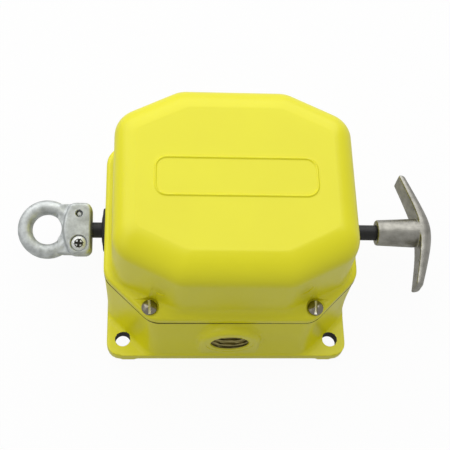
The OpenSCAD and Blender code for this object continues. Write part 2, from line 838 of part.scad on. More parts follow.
module at_rollers() {
    for (s = [-1, 1]) translate([s * roller_arm, s > 0 ? roller_in : -roller_in, pivot_z])
        rotate([s > 0 ? -90 : 90, 0, 0]) children();
}

module lever_rollers() {
    color(black) at_rollers() difference() {
        cylinder(r = roller_r, h = roller_w);
        translate([0, 0, -1]) cylinder(r = roller_pin_r + seat_fit, h = roller_w + 2);
    }
}

module roller_pins() {
    color(steel) at_rollers() translate([0, 0, -0.4])
        cylinder(r = roller_pin_r, h = roller_w + lever_plate + 1.1);
}

module switch_bracket() {
    color("lightsteelblue") difference() {
        union() {
            translate([-bracket_l / 2, -bracket_y - sheet, plate_z])
                cube([bracket_l, 2 * (bracket_y + sheet), sheet]);
            for (s = [-1, 1]) {
                translate([-leg_l / 2, s > 0 ? bracket_y : -bracket_y - sheet, foot_t])
                    cube([leg_l, sheet, plate_z - foot_t + 1]);
                translate([-leg_l / 2, s > 0 ? bracket_y : -bracket_y - sheet - foot_l, foot_t])
                    cube([leg_l, sheet + foot_l, sheet]);
            }
            translate([-bracket_l / 2, snap_back, plate_z])
                cube([bracket_l, sheet, sheet + bracket_back_h]);
        }
        // openings over the two rollers, for the plungers
        for (s = [-1, 1]) translate([s * roller_arm, s * snap_y, plate_z - 1])
            cylinder(d = plunger_d + 3, h = sheet + 2);
        translate([0, bracket_y + sheet + 1, pivot_z]) rotate([90, 0, 0])
            cylinder(r = pin_r + seat_fit, h = 2 * (bracket_y + sheet + 1));
        translate([0, 0, foot_t - 1]) at_corners(bracket_screw_x, bracket_screw_y)
            cylinder(d = bracket_screw_d + 0.4, h = sheet + 2);
        for (s = [-1, 1]) translate([s * snap_screw_gap / 2, 0, snap_screw_z]) rotate([-90, 0, 0])
            cylinder(d = snap_screw_d + 2 * seat_fit, h = snap_back + sheet + 1);
    }
}

// Snap-action switch: a moulded case with a shouldered top for its terminals
module snap_switch(side) {
    step = 6;
    color("#3a2a22") difference() {
        union() {
            translate([-snap_l / 2, side * snap_y - snap_w / 2, snap_z])
                cube([snap_l, snap_w, snap_h - step]);
            translate([-snap_l / 2 + 3, side * snap_y - snap_w / 2 + 1.5, snap_z + 1])
                cube([snap_l - 6, snap_w - 3, snap_h - 1]);
        }
        translate([side * roller_arm, side * snap_y, snap_z - 1])
            cylinder(d = plunger_d + 2 * run_fit, h = plunger_in + pull_rise + 2);
        for (s = [-1, 1]) translate([s * snap_screw_gap / 2, 0, snap_screw_z]) rotate([90, 0, 0])
            translate([0, 0, -snap_back]) cylinder(d = snap_screw_d + 0.2, h = 2 * snap_back);
        for (s = [-1:1]) translate([s * terminal_gap, side * snap_y, snap_z + snap_h - terminal_in - 0.5])
            cylinder(d = terminal_d + 2 * seat_fit, h = terminal_in + 1);
    }
}

module front_snap_switch() {
    snap_switch(-1);
}

module rear_snap_switch() {
    snap_switch(1);
}

module plunger(side) {
    color("tomato") translate([side * roller_arm, side * snap_y, snap_z - plunger_out])
        cylinder(d = plunger_d, h = plunger_out + plunger_in);
}

module front_plunger() {
    plunger(-1);
}

module rear_plunger() {
    plunger(1);
}

module switch_screws() {
    front = snap_y + snap_w / 2 + 0.1;
    length = front + snap_back + sheet - 0.4;
    color(steel) for (s = [-1, 1])
        translate([s * snap_screw_gap / 2, -front, snap_screw_z])
            rotate([90, 0, 0]) cross_screw(snap_screw_d, snap_head_d, small_side, small_dome, length);
}

module terminal_screws() {
    color("khaki") for (side = [-1, 1], s = [-1:1])
        translate([s * terminal_gap, side * snap_y, snap_z + snap_h])
            cross_screw(terminal_d, snap_head_d, terminal_side, terminal_dome, terminal_in);
}

base_housing();
cover();
cover_gasket();
cover_screws();
shaft();
left_bushing();
right_bushing();
left_wiper_seal();
right_wiper_seal();
eye_front_half();
eye_back_half();
eye_clamp_screws();
t_handle();
handle_set_screw();
trip_collar();
collar_pin();
spring_washers();
pull_spring();
slack_spring();
switch_bracket();
bracket_screws();
trip_lever();
lever_pin();
lever_pin_clip();
lever_rollers();
roller_pins();
front_snap_switch();
rear_snap_switch();
front_plunger();
rear_plunger();
switch_screws();
terminal_screws();
ground_screw();
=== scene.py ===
import json
import math
from collections import namedtuple

import bmesh
import bpy
from bpy.props import FloatProperty, FloatVectorProperty, PointerProperty
from mathutils import Matrix, Vector


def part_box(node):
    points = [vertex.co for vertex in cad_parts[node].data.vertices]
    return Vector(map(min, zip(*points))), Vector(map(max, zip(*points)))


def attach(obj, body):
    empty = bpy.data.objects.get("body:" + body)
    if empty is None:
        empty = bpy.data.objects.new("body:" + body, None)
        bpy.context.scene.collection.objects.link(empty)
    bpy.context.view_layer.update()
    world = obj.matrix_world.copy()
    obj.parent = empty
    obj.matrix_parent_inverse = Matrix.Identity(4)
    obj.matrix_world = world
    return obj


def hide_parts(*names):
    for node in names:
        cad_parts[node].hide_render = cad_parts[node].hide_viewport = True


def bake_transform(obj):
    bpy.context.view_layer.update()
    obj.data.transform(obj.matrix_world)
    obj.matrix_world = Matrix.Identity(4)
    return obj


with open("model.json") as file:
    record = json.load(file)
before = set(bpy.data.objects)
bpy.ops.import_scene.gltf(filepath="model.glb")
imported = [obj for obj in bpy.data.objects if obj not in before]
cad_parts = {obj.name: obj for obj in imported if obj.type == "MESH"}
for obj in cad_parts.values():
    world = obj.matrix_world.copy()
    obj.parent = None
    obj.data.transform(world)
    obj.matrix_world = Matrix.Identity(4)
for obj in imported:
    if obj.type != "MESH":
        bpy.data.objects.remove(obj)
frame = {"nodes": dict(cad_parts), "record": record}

bl_info = {
    "name": "Rope pull switch",
    "version": (1, 0, 0),
    "blender": (4, 5, 0),
    "location": "View3D > Sidebar > Pull Switch",
    "description": "Dresses the packed rope pull switch with its castings, finishes and studio",
    "category": "Object",
}

MM = 0.001

# ---- What the frame says ------------------------------------------------------------

MOUNTS = {mount["name"]: mount for mount in frame["record"]["mounts"]}
COVER_LOW, COVER_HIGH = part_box("cover")
BASE_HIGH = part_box("base_housing")[1]
SHAFT_LOW, SHAFT_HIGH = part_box("shaft")
HANDLE_LOW, HANDLE_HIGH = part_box("t_handle")
SCREWS_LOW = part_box("cover_screws")[0]
SEAL_LOW, SEAL_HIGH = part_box("right_wiper_seal")
SHAFT_Z = (SHAFT_LOW.z + SHAFT_HIGH.z) / 2
SHAFT_R = (SHAFT_HIGH.z - SHAFT_LOW.z) / 2
EYE_AT = Vector(MOUNTS["eye_bore"]["pos_m"])
EYE_AXIS = Vector(MOUNTS["eye_bore"]["axis"])
EYE_TURN = math.atan2(-EYE_AXIS.y, EYE_AXIS.z)
EYE_BORE_R = MOUNTS["eye_bore"]["dims"]["r_mm"] * MM
CONDUIT_AT = Vector(MOUNTS["conduit_entry"]["pos_m"])
CONDUIT_R = MOUNTS["conduit_entry"]["dims"]["r_mm"] * MM
BOLTS = MOUNTS["base_bolts"]["dims"]


# ---- Sizes and colours that a user would change --------------------------------------


def length(name, description, default):
    """A length property in metres."""
    return FloatProperty(name=name, description=description, default=default, unit="LENGTH", precision=5)


def colour(name, description, hex_value):
    """A colour property that takes its default from an sRGB hex value."""
    return FloatVectorProperty(
        name=name, description=description, default=linear(hex_value), subtype="COLOR", size=4, min=0, max=1)


def linear(hex_value):
    """The linear RGBA colour of an sRGB hex value such as "#E9E338"."""
    values = [int(hex_value[i:i + 2], 16) / 255 for i in (1, 3, 5)]
    return [v / 12.92 if v <= 0.04045 else ((v + 0.055) / 1.055) ** 2.4 for v in values] + [1.0]


class CastingSizes(bpy.types.PropertyGroup):
    """Sizes of the cover and the base housing."""
    flange_corner: length("Flange corner", "Depth of the flange's corner cuts", 20.15 * MM)
    flange_thickness: length("Flange thickness", "Thickness of the cover flange", 5.4 * MM)
    flange_radius: length("Flange corner radius", "Plan radius of the flange's corners", 14 * MM)
    dome_step_x: length("Dome step X", "Step from the flange in to the dome at the sides", 6 * MM)
    dome_step_y: length("Dome step Y", "Step from the flange in to the dome in front and behind", 5.5 * MM)
    dome_corner: length("Dome corner", "Depth of the dome's corner cuts", 17.75 * MM)
    dome_radius: length("Dome plan radius", "Plan radius where the dome's walls meet", 18 * MM)
    dome_edge: length("Dome edge", "Height of the dome's rounded edge, and its width at the sides", 13 * MM)
    dome_edge_width: length("Dome edge width", "Width of the rounded edge in front and behind", 17.5 * MM)
    dome_flare: length("Dome flare", "Height of the fillet from the flange up to the dome", 7 * MM)
    cover_wall: length("Cover wall", "Wall of the cover casting", 4 * MM)
    frame_length: length("Label frame length", "Length of the blank label frame", 97 * MM)
    frame_width: length("Label frame width", "Width of the blank label frame", 27 * MM)
    frame_bead: length("Label frame bead", "Width of the label frame's raised bead", 2.2 * MM)
    screw_edge_x: length("Cover screw edge X", "Distance of the screws from the side edges", 28 * MM)
    screw_edge_y: length("Cover screw edge Y", "Distance of the screws from the front and back", 7.5 * MM)
    foot_thickness: length("Foot thickness", "Thickness of the foot at the ears", 8 * MM)
    foot_radius: length("Foot corner radius", "Corner radius of the foot", 9.5 * MM)
    foot_flare: length("Foot flare", "Height of the fillet from the foot up to the walls", 21 * MM)
    pad_height: length("Pad height", "Height of the pads under the ears", 1.6 * MM)
    pad_side: length("Pad side", "Side of each pad under the ears", 21 * MM)
    base_wall: length("Base wall", "Wall of the base casting", 5 * MM)
    hub_radius: length("Conduit hub radius", "Radius of the conduit hub", 19.5 * MM)
    hub_proud: length("Conduit hub height", "How far the conduit hub stands out of the wall", 6 * MM)
    hub_edge: length("Conduit hub edge", "Radius of the hub's front edge", 3 * MM)
    # the real pitch is 1.8 mm: it is drawn coarser, so that the ridges can be told apart
    thread_pitch: length("Thread pitch", "Pitch of the conduit thread", 2.8 * MM)
    thread_depth: length("Thread depth", "Depth of the conduit thread", 1.4 * MM)
    grid: length("Casting grid", "Grid that the softened castings are meshed on", 1.0 * MM)


class EyeSizes(bpy.types.PropertyGroup):
    """Sizes of the two-part rope eye."""
    section: length("Ring section", "Radial width of the eye's round section", 9.1 * MM)
    land: length("Ring land", "Straight land in the middle of the eye's hole", 3 * MM)
    reach: length("Reach", "Distance from the eye's centre to the flat end of its clamp", 28.5 * MM)
    clamp_width: length("Clamp width", "Width of the clamp block", 33.6 * MM)
    clamp_length: length("Clamp length", "Length of the clamp block along the shaft", 17.6 * MM)
    clamp_thickness: length("Clamp thickness", "Thickness of each half of the clamp", 9.3 * MM)
    screw_gap: length("Screw spacing", "Spacing of the two clamp screws", 19 * MM)
    grid: length("Eye grid", "Grid that the softened eye is meshed on", 0.4 * MM)


class HandleSizes(bpy.types.PropertyGroup):
    """Sizes of the swept T-handle."""
    tip_height: length("Tip height", "Height of the bar at its tips", 15.2 * MM)
    mid_height: length("Middle height", "Height of the bar at the hub", 19.0 * MM)
    mid_thickness: length("Middle thickness", "Thickness of the bar at the hub", 9.2 * MM)
    tip_thickness: length("Tip thickness", "Thickness of the bar at its tips", 4.9 * MM)
    back_sweep: length("Back sweep", "How far the tip behind the shaft is swept back", 14.6 * MM)
    front_sweep: length("Front sweep", "How far the tip before the shaft is swept back", 9.6 * MM)
    bend: length("Bend", "How softly the two arms meet", 4.8 * MM)
    lean: length("Lean", "How far the tip behind the shaft stands above the shaft", 2.2 * MM)
    hub_diameter: length("Hub diameter", "Diameter of the hub at its open end", 16.8 * MM)
    grid: length("Handle grid", "Grid that the softened handle is meshed on", 0.45 * MM)


class Finishes(bpy.types.PropertyGroup):
    """Colours of the finishes."""
    enamel: colour("Yellow enamel", "Safety yellow of the two castings", "#EDE714")
    # the darker yellow of the random mottling, and of the painted shade in the hollows
    enamel_mottle_and_shade: colour("Thin enamel", "Where the enamel lies thin over an edge", "#DCD010")
    aluminium: colour("Cast aluminium", "Colour of the tumbled aluminium castings", "#D0D4D3")
    burnished: colour("Burnished aluminium", "Colour of the burnished T-handle", "#A9A79F")


class StudioSettings(bpy.types.PropertyGroup):
    """Camera and lamps."""
    camera_at: FloatVectorProperty(
        name="Camera place", description="Where the camera stands",
        default=(-0.050717, -0.265339, 0.597273), subtype="TRANSLATION", unit="LENGTH", size=3, precision=5)
    camera_aim: FloatVectorProperty(
        name="Camera aim", description="Point on the optical axis",
        default=(-0.00293, -0.00469, 0.050), subtype="TRANSLATION", unit="LENGTH", size=3, precision=5)
    camera_roll: FloatProperty(
        name="Camera roll", description="Turn of the camera about its axis",
        default=math.radians(9.975), subtype="ANGLE", unit="ROTATION")
    focal_length: FloatProperty(
        name="Focal length", description="Focal length in millimetres on a 36 mm frame",
        default=77.14, min=10, max=300)
    key_power: FloatProperty(
        name="Key lamp", description="Power of the overhead key", default=30.5, unit="POWER")
    fill_power: FloatProperty(
        name="Fill lamp", description="Power of the fill from the eye's side", default=0.6, unit="POWER")
    sky: FloatProperty(
        name="Sky", description="Strength of the pale surroundings", default=0.45, min=0, max=3)


class PullSwitchSettings(bpy.types.PropertyGroup):
    """All settings of the rope pull switch."""
    casting: PointerProperty(type=CastingSizes)
    eye: PointerProperty(type=EyeSizes)
    handle: PointerProperty(type=HandleSizes)
    finish: PointerProperty(type=Finishes)
    studio: PointerProperty(type=StudioSettings)


# ---- Plans and solids ----------------------------------------------------------------

Plan = namedtuple("Plan", "half_width half_depth cut angle radius")


def rounded(points, radii, steps):
    """The outline through points with every corner rounded, by one radius or by one for each."""
    result = []
    count = len(points)
    for i, point in enumerate(points):
        radius = radii[i] if isinstance(radii, (list, tuple)) else radii
        here = Vector(point)
        back = (Vector(points[i - 1]) - here).normalized()
        ahead = (Vector(points[(i + 1) % count]) - here).normalized()
        half = back.angle(ahead) / 2
        centre = here + (back + ahead).normalized() * radius / math.sin(half)
        start = here + back * radius / math.tan(half) - centre
        turn = math.pi - 2 * half
        for k in range(steps + 1):
            angle = turn * k / steps
            result.append((
                centre.x + start.x * math.cos(angle) - start.y * math.sin(angle),
                centre.y + start.x * math.sin(angle) + start.y * math.cos(angle)))
    return result


def rounded_rectangle(width, depth, radius, steps=8):
    """The outline of a rectangle with round corners, about the origin."""
    x, y = width / 2, depth / 2
    return rounded([(x, -y), (x, y), (-x, y), (-x, -y)], radius, steps)


def outline(plan, steps=14):
    """The eight-sided plan of a casting with rounded corners."""
    w, d = plan.half_width, plan.half_depth
    y = (plan.cut - w * math.cos(plan.angle)) / math.sin(plan.angle)
    x = (plan.cut - d * math.sin(plan.angle)) / math.cos(plan.angle)
    corners = [(w, -y), (w, y), (x, d), (-x, d), (-w, y), (-w, -y), (-x, -d), (x, -d)]
    return rounded(corners, plan.radius, steps)


def cut_plan(half_width, half_depth, corner, degrees, radius):
    """A plan whose corners are cut back by a depth from the square corner."""
    angle = math.radians(degrees)
    square = half_width * math.cos(angle) + half_depth * math.sin(angle)
    return Plan(half_width, half_depth, square - corner, angle, radius)


def inset(plan, step, side_step=None):
    """The plan set in by a step, at the sides by their own step if one is given."""
    w, d, cut, angle, radius = plan
    side = step if side_step is None else side_step
    return Plan(w - side, d - step, cut - step, angle, max(radius - side, 1 * MM))


def between(first, second, share):
    """The plan that lies a share of the way from the first to the second."""
    return Plan(*[a * (1 - share) + b * share for a, b in zip(first, second)])


def level(plan, z):
    """A ring: the plan's outline at height z."""
    return [(x, y, z) for x, y in outline(plan)]


def flare(foot, z, height, wall_at, steps=12):
    """Rings of a hollow quarter-round from the foot plan up to the wall above it."""
    rings = []
    for k in range(1, steps + 1):
        angle = math.pi / 2 * k / steps
        top = z + height * (1 - math.cos(angle))
        rings.append(level(between(foot, wall_at(top), math.sin(angle)), top))
    return rings


def rounded_edge(plan, height, width, z, steps=16):
    """Rings of the rounded edge that closes a wall in at its top: wider in front than at the sides.

    The arc stops a little short of level, which leaves the faint crease round the top face.
    """
    rings = []
    last = math.radians(72)
    for k in range(steps + 1):
        a = last * k / steps
        closed = (1 - math.cos(a)) / (1 - math.cos(last))
        rings.append(level(
            inset(plan, width * closed, height * closed), z + height * math.sin(a) / math.sin(last)))
    return rings


def new_mesh(name, points, faces):
    """A mesh object with outward faces."""
    mesh = bpy.data.meshes.new(name)
    mesh.from_pydata([tuple(p) for p in points], [], faces)
    shell = bmesh.new()
    shell.from_mesh(mesh)
    bmesh.ops.recalc_face_normals(shell, faces=shell.faces)
    shell.to_mesh(mesh)
    shell.free()
    piece = bpy.data.objects.new(name, mesh)
    bpy.context.scene.collection.objects.link(piece)
    return piece


def loft(rings, name="loft"):
    """A closed solid through rings that all have the same number of points."""
    count = len(rings[0])
    points = [p for ring in rings for p in ring]
    faces = [list(range(count))[::-1], [(len(rings) - 1) * count + i for i in range(count)]]
    for j in range(len(rings) - 1):
        for i in range(count):
            k = (i + 1) % count
            faces.append([j * count + i, j * count + k, (j + 1) * count + k, (j + 1) * count + i])
    return new_mesh(name, points, faces)


def hoop(rings, name="hoop"):
    """A closed band: rings run round a loop, and the last one joins the first."""
    count, total = len(rings[0]), len(rings)
    points = [p for ring in rings for p in ring]
    faces = []
    for j in range(total):
        for i in range(count):
            k, after = (i + 1) % count, (j + 1) % total
            faces.append([j * count + i, j * count + k, after * count + k, after * count + i])
    return new_mesh(name, points, faces)


def prism(points, low, high, name="prism"):
    """An upright solid on an outline."""
    return loft([[(x, y, low) for x, y in points], [(x, y, high) for x, y in points]], name)


def turned(profile, steps=96, name="turned"):
    """A solid of revolution about Z: the profile's (radius, z) points run upward on its outside."""
    circle = [2 * math.pi * i / steps for i in range(steps)]
    return loft([[(r * math.cos(a), r * math.sin(a), z) for a in circle] for r, z in profile], name)


def drum(radius, low, high, steps=96):
    """A round bar along Z, to cut with or to unite."""
    return turned([(radius, low), (radius, high)], steps, "drum")


def block(low, high):
    """A square bar between two corners, to cut with."""
    x0, y0, z0 = low
    x1, y1, z1 = high
    return prism([(x0, y0), (x1, y0), (x1, y1), (x0, y1)], z0, z1, "block")


def place(piece, matrix):
    """Moves the piece's mesh, and leaves its origin where it is."""
    piece.data.transform(matrix)
    return piece


def along_x(x):
    """Turns a solid that stands on Z so that it lies on the shaft's axis, starting at x."""
    return Matrix.Translation((x, 0, SHAFT_Z)) @ Matrix.Rotation(math.pi / 2, 4, "Y")


def remove(piece):
    """Deletes a piece and its mesh."""
    mesh = piece.data
    bpy.data.objects.remove(piece)
    bpy.data.meshes.remove(mesh)


def bake_modifiers(piece):
    """Applies the piece's modifiers to its mesh."""
    shape = piece.evaluated_get(bpy.context.evaluated_depsgraph_get())
    mesh = bpy.data.meshes.new_from_object(shape)
    old = piece.data
    piece.modifiers.clear()
    piece.data = mesh
    bpy.data.meshes.remove(old)
    return piece


def combine(piece, others, operation):
    """Unites the piece with the others, cuts them from it, or keeps what they share."""
    for other in others:
        change = piece.modifiers.new("change", "BOOLEAN")
        change.operation = operation
        change.solver = "MANIFOLD"
        change.object = other
        bake_modifiers(piece)
        remove(other)
    if not piece.data.polygons:
        raise RuntimeError(f"nothing is left of {piece.name} after {operation}")
    return piece


def unite(piece, *others):
    """Adds the others' volume to the piece."""
    return combine(piece, others, "UNION")


def cut(piece, *others):
    """Takes the others' volume away from the piece."""
    return combine(piece, others, "DIFFERENCE")


def soften(piece, grid, rounds):
    """Gives a casting its soft corners and fillets: a fine even mesh, then smoothed."""
    even = piece.modifiers.new("even", "REMESH")
    even.mode = "VOXEL"
    even.voxel_size = grid
    soft = piece.modifiers.new("soft", "SMOOTH")
    soft.factor = 0.5
    soft.iterations = rounds
    return bake_modifiers(piece)


def join(piece, *others):
    """Adds the others' meshes to the piece's mesh as they are."""
    shell = bmesh.new()
    shell.from_mesh(piece.data)
    for other in others:
        shell.from_mesh(other.data)
        remove(other)
    shell.to_mesh(piece.data)
    shell.free()
    return piece


def set_materials(piece, *materials):
    """Gives a piece its materials, in place of any that its making left."""
    piece.data.materials.clear()
    for material in materials:
        piece.data.materials.append(material)
    return piece


def finish_piece(piece, name, body, slot, *nodes):
    """Names a piece, gives it smooth faces and sets it in the CAD nodes' place."""
    piece.name = name
    piece.data.name = name
    piece.data.shade_smooth()
    piece.data.set_sharp_from_angle(angle=math.radians(32))
    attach(piece, body)
    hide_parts(*nodes)
    return piece


# ---- Materials -----------------------------------------------------------------------


def add(tree, kind, inputs=None, **settings):
    """Adds a node with its settings. An input that is given a socket is linked to it."""
    node = tree.nodes.new(kind)
    for name, value in settings.items():
        setattr(node, name, value)
    for name, value in (inputs or {}).items():
        if isinstance(value, bpy.types.NodeSocket):
            tree.links.new(value, node.inputs[name])
        else:
            node.inputs[name].default_value = value
    return node


def per(size_mm):
    """The texture scale whose features are size_mm across, in object coordinates in metres."""
    return 1000 / size_mm


def new_material(name):
    """An empty node material and its tree, its shader and its object coordinates."""
    material = bpy.data.materials.new(name)
    material.use_nodes = True
    tree = material.node_tree
    tree.nodes.clear()
    shader = add(tree, "ShaderNodeBsdfPrincipled")
    add(tree, "ShaderNodeOutputMaterial", {"Surface": shader.outputs["BSDF"]})
    place_on = add(tree, "ShaderNodeTexCoord").outputs["Object"]
    return material, tree, shader, place_on


def connect(tree, shader, tone, roughness, relief):
    """Links a finish's pattern of colour, roughness and relief to its shader."""
    tree.links.new(tone, shader.inputs["Base Color"])
    tree.links.new(roughness, shader.inputs["Roughness"])
    tree.links.new(relief, shader.inputs["Normal"])


def yellow_enamel():
    """Sprayed alkyd enamel on a sand casting.

    It gives the eye an even, warm safety yellow with a satin gloss, the faint ripple of sprayed
    paint over the casting's skin, and painted shade: a slightly darker tone in the hollows, from ambient
    occlusion.
    """
    if "sprayed_yellow_enamel" in bpy.data.materials:
        return bpy.data.materials["sprayed_yellow_enamel"]
    finish = bpy.context.scene.pull_switch.finish
    material, tree, shader, at = new_material("sprayed_yellow_enamel")
    cloud = add(tree, "ShaderNodeTexNoise", {"Vector": at, "Scale": per(38), "Detail": 2, "Roughness": 0.5})
    shade = add(tree, "ShaderNodeMapRange", {
        "Value": cloud.outputs["Fac"], "From Min": 0.3, "From Max": 0.7, "To Min": 0, "To Max": 0.16})
    # painted shade: ambient occlusion darkens the enamel in hollows and corners
    hollow = add(tree, "ShaderNodeAmbientOcclusion", {"Distance": 3.5 * MM}, samples=6)
    painted_hollow_shade = add(tree, "ShaderNodeMapRange", {
        "Value": hollow.outputs["AO"], "From Min": 0.35, "From Max": 0.8, "To Min": 0.2, "To Max": 0})
    share = add(tree, "ShaderNodeMath", {
        0: shade.outputs["Result"], 1: painted_hollow_shade.outputs["Result"]}, operation="MAXIMUM")
    base = add(tree, "ShaderNodeMix", {
        0: share.outputs[0], 6: finish.enamel, 7: finish.enamel_mottle_and_shade}, data_type="RGBA")
    peel = add(tree, "ShaderNodeTexNoise", {"Vector": at, "Scale": per(2.6), "Detail": 2, "Roughness": 0.45})
    skin = add(tree, "ShaderNodeTexNoise", {"Vector": at, "Scale": per(14), "Detail": 1})
    ripple = add(tree, "ShaderNodeMath", {
        0: skin.outputs["Fac"], 1: 2.0, 2: peel.outputs["Fac"]}, operation="MULTIPLY_ADD")
    bump = add(tree, "ShaderNodeBump", {"Height": ripple.outputs[0], "Strength": 0.2, "Distance": 0.008 * MM})
    gloss = add(tree, "ShaderNodeMapRange", {
        "Value": peel.outputs["Fac"], "From Min": 0.3, "From Max": 0.7, "To Min": 0.28, "To Max": 0.34})
    connect(tree, shader, base.outputs[2], gloss.outputs["Result"], bump.outputs["Normal"])
    shader.inputs["IOR"].default_value = 1.5
    return material


def cast_aluminium(name, bright, dullness):
    """Aluminium casting: tumbled and dull for the rope eye, burnished smoother for the T-handle.

    It gives the eye a grey metal with a soft, slightly mottled sheen: the mould's fine grain,
    a few pits, and broad patches that took less of the tumbling and stay darker and duller.
    """
    if name in bpy.data.materials:
        return bpy.data.materials[name]
    material, tree, shader, at = new_material(name)
    dark = [c * 0.68 for c in bright[:3]] + [1.0]
    cloud = add(tree, "ShaderNodeTexNoise", {"Vector": at, "Scale": per(5), "Detail": 4, "Roughness": 0.6})
    tone = add(tree, "ShaderNodeMapRange", {
        "Value": cloud.outputs["Fac"], "From Min": 0.35, "From Max": 0.7, "To Min": 0, "To Max": 1})
    base = add(tree, "ShaderNodeMix", {
        0: tone.outputs["Result"], 6: bright, 7: dark}, data_type="RGBA")
    grain = add(tree, "ShaderNodeTexNoise", {"Vector": at, "Scale": per(0.7), "Detail": 3, "Roughness": 0.6})
    pits = add(tree, "ShaderNodeTexVoronoi", {"Vector": at, "Scale": per(2.4)})
    pit = add(tree, "ShaderNodeMapRange", {
        "Value": pits.outputs["Distance"], "From Min": 0.0, "From Max": 0.16, "To Min": -0.8, "To Max": 0})
    height = add(tree, "ShaderNodeMath", {
        0: pit.outputs["Result"], 1: grain.outputs["Fac"]}, operation="ADD")
    bump = add(tree, "ShaderNodeBump", {"Height": height.outputs[0], "Strength": 0.5, "Distance": 0.08 * MM})
    dull = add(tree, "ShaderNodeMapRange", {
        "Value": cloud.outputs["Fac"], "From Min": 0.3, "From Max": 0.7,
        "To Min": 0.5 * dullness, "To Max": 0.64 * dullness})
    connect(tree, shader, base.outputs[2], dull.outputs["Result"], bump.outputs["Normal"])
    shader.inputs["Metallic"].default_value = 1.0
    return material


# Metals and plastics that differ only in colour, gloss and the size of their grain:
# name, colour, metallic, roughness range, grain across and along the shaft in mm, bump in mm
PLAIN_FINISHES = {
    # warm white metal with a clear shine, on small turned parts, and as a painted highlight on the cover
    # screws' slot floors
    "bright_nickel_plate": ("#E4E0D6", 1.0, 0.16, 0.28, 1.2, 1.2, 0.02),
    # painted shade: a darker copy of the same plate for the dark surroundings that the screw domes reflect,
    # its shine still there
    "dulled_nickel_plate": ("#918B7D", 1.0, 0.16, 0.26, 1.2, 1.2, 0.03),
    # a chalky white metal, its shine half hidden by zinc bloom
    "white_zinc_plate": ("#E8EAEA", 0.6, 0.3, 0.42, 1.2, 1.2, 0.02),
    # cut threads that have caught a little yellow overspray
    "bare_tapped_aluminium": ("#B0A56C", 1.0, 0.3, 0.42, 4.0, 4.0, 0.02),
    # painted shade: dark brown and quite matt, put in recesses and unpainted holes for the shade inside them
    "settled_grime": ("#2A261B", 0.0, 0.5, 0.7, 1.2, 1.2, 0.02),
    # near black with a low sheen, and turning marks across the shaft. The real marks are about
    # 0.1 mm apart, drawn coarser so that they show
    "black_oxide_steel": ("#08080A", 0.0, 0.42, 0.54, 6.0, 0.35, 0.02),
    # cold grey sheet with large, faint spangles
    "zinc_plated_sheet": ("#AEB4BA", 1.0, 0.3, 0.45, 4.0, 4.0, 0.02),
    # mid grey wire with a drawn sheen
    "drawn_spring_wire": ("#8A8B8E", 1.0, 0.28, 0.4, 1.0, 1.0, 0.01),
    # soft matt black
    "moulded_nitrile_rubber": ("#19191B", 0.0, 0.55, 0.75, 0.9, 0.9, 0.04),
    # warm brown metal with fine turning marks
    "turned_bearing_bronze": ("#B98A4E", 1.0, 0.25, 0.4, 5.0, 0.4, 0.02),
    # very dark brown and dry, with a crumbly edge
    "rubber_bonded_cork": ("#140F07", 0.0, 0.85, 0.95, 1.2, 1.2, 0.05),
    # dark red-brown, with the mild gloss of a press tool
    "moulded_phenolic": ("#33241D", 0.0, 0.3, 0.42, 0.8, 0.8, 0.02),
    # smooth signal red
    "red_moulded_nylon": ("#B32A1E", 0.0, 0.3, 0.4, 1.5, 1.5, 0.01),
    # smooth black with a waxy gloss
    "black_moulded_nylon": ("#222224", 0.0, 0.35, 0.45, 1.5, 1.5, 0.01),
    # clear yellow metal, cleanly turned
    "turned_brass": ("#D3B56A", 1.0, 0.2, 0.32, 1.0, 1.0, 0.01),
    # the green tint that marks a ground screw, with metal shining through
    "green_passivated_steel": ("#2E7D46", 0.8, 0.28, 0.4, 1.2, 1.2, 0.02),
}


def plain_finish(name):
    """One of the plain finishes, which gives the eye an even tone with a fine broken grain."""
    if name in bpy.data.materials:
        return bpy.data.materials[name]
    tone, metallic, low, high, across, along, relief = PLAIN_FINISHES[name]
    material, tree, shader, at = new_material(name)
    stretched = add(tree, "ShaderNodeMapping", {
        "Vector": at, "Scale": (per(along), per(across), per(across))})
    grain = add(tree, "ShaderNodeTexNoise", {
        "Vector": stretched.outputs["Vector"], "Scale": 1, "Detail": 3, "Roughness": 0.55})
    darker = [c * 0.78 for c in linear(tone)[:3]] + [1.0]
    base = add(tree, "ShaderNodeMix", {
        0: grain.outputs["Fac"], 6: linear(tone), 7: darker}, data_type="RGBA")
    gloss = add(tree, "ShaderNodeMapRange", {
        "Value": grain.outputs["Fac"], "From Min": 0.3, "From Max": 0.7, "To Min": low, "To Max": high})
    bump = add(tree, "ShaderNodeBump", {
        "Height": grain.outputs["Fac"], "Strength": 0.6, "Distance": relief * MM})
    connect(tree, shader, base.outputs[2], gloss.outputs["Result"], bump.outputs["Normal"])
    shader.inputs["Metallic"].default_value = metallic
    return material


# ---- The cover -----------------------------------------------------------------------


BODY_STEP = 0.2 * MM  # how far the base stands inside the cover's flange
SMOOTH_ROUNDS = 3


def flange_plan(sizes):
    """The plan of the cover's flange."""
    return cut_plan(COVER_HIGH.x, COVER_HIGH.y, sizes.flange_corner, 45, sizes.flange_radius)


def body_plan(sizes):
    """The plan of the base's walls at the joint face."""
    return inset(flange_plan(sizes), BODY_STEP)


DOME_TOP = COVER_HIGH.z - 0.7 * MM  # the label frame's bead stands on it
DOME_DRAFT = math.radians(1.6)


def dome_plan(sizes, z):
    """The dome's plan at height z, with its draft."""
    plan = cut_plan(
        COVER_HIGH.x - sizes.dome_step_x, COVER_HIGH.y - sizes.dome_step_y, sizes.dome_corner, 63,
        sizes.dome_radius)
    return inset(plan, (z - DOME_TOP + sizes.dome_edge) * math.tan(DOME_DRAFT))


def screw_places(sizes):
    """The four cover screws' axes."""
    return at_corners(2 * (COVER_HIGH.x - sizes.screw_edge_x), 2 * (COVER_HIGH.y - sizes.screw_edge_y))


def at_corners(x, y):
    """The corners of a rectangle about the origin."""
    return [Vector((i * x / 2, j * y / 2, 0)) for i in (-1, 1) for j in (-1, 1)]


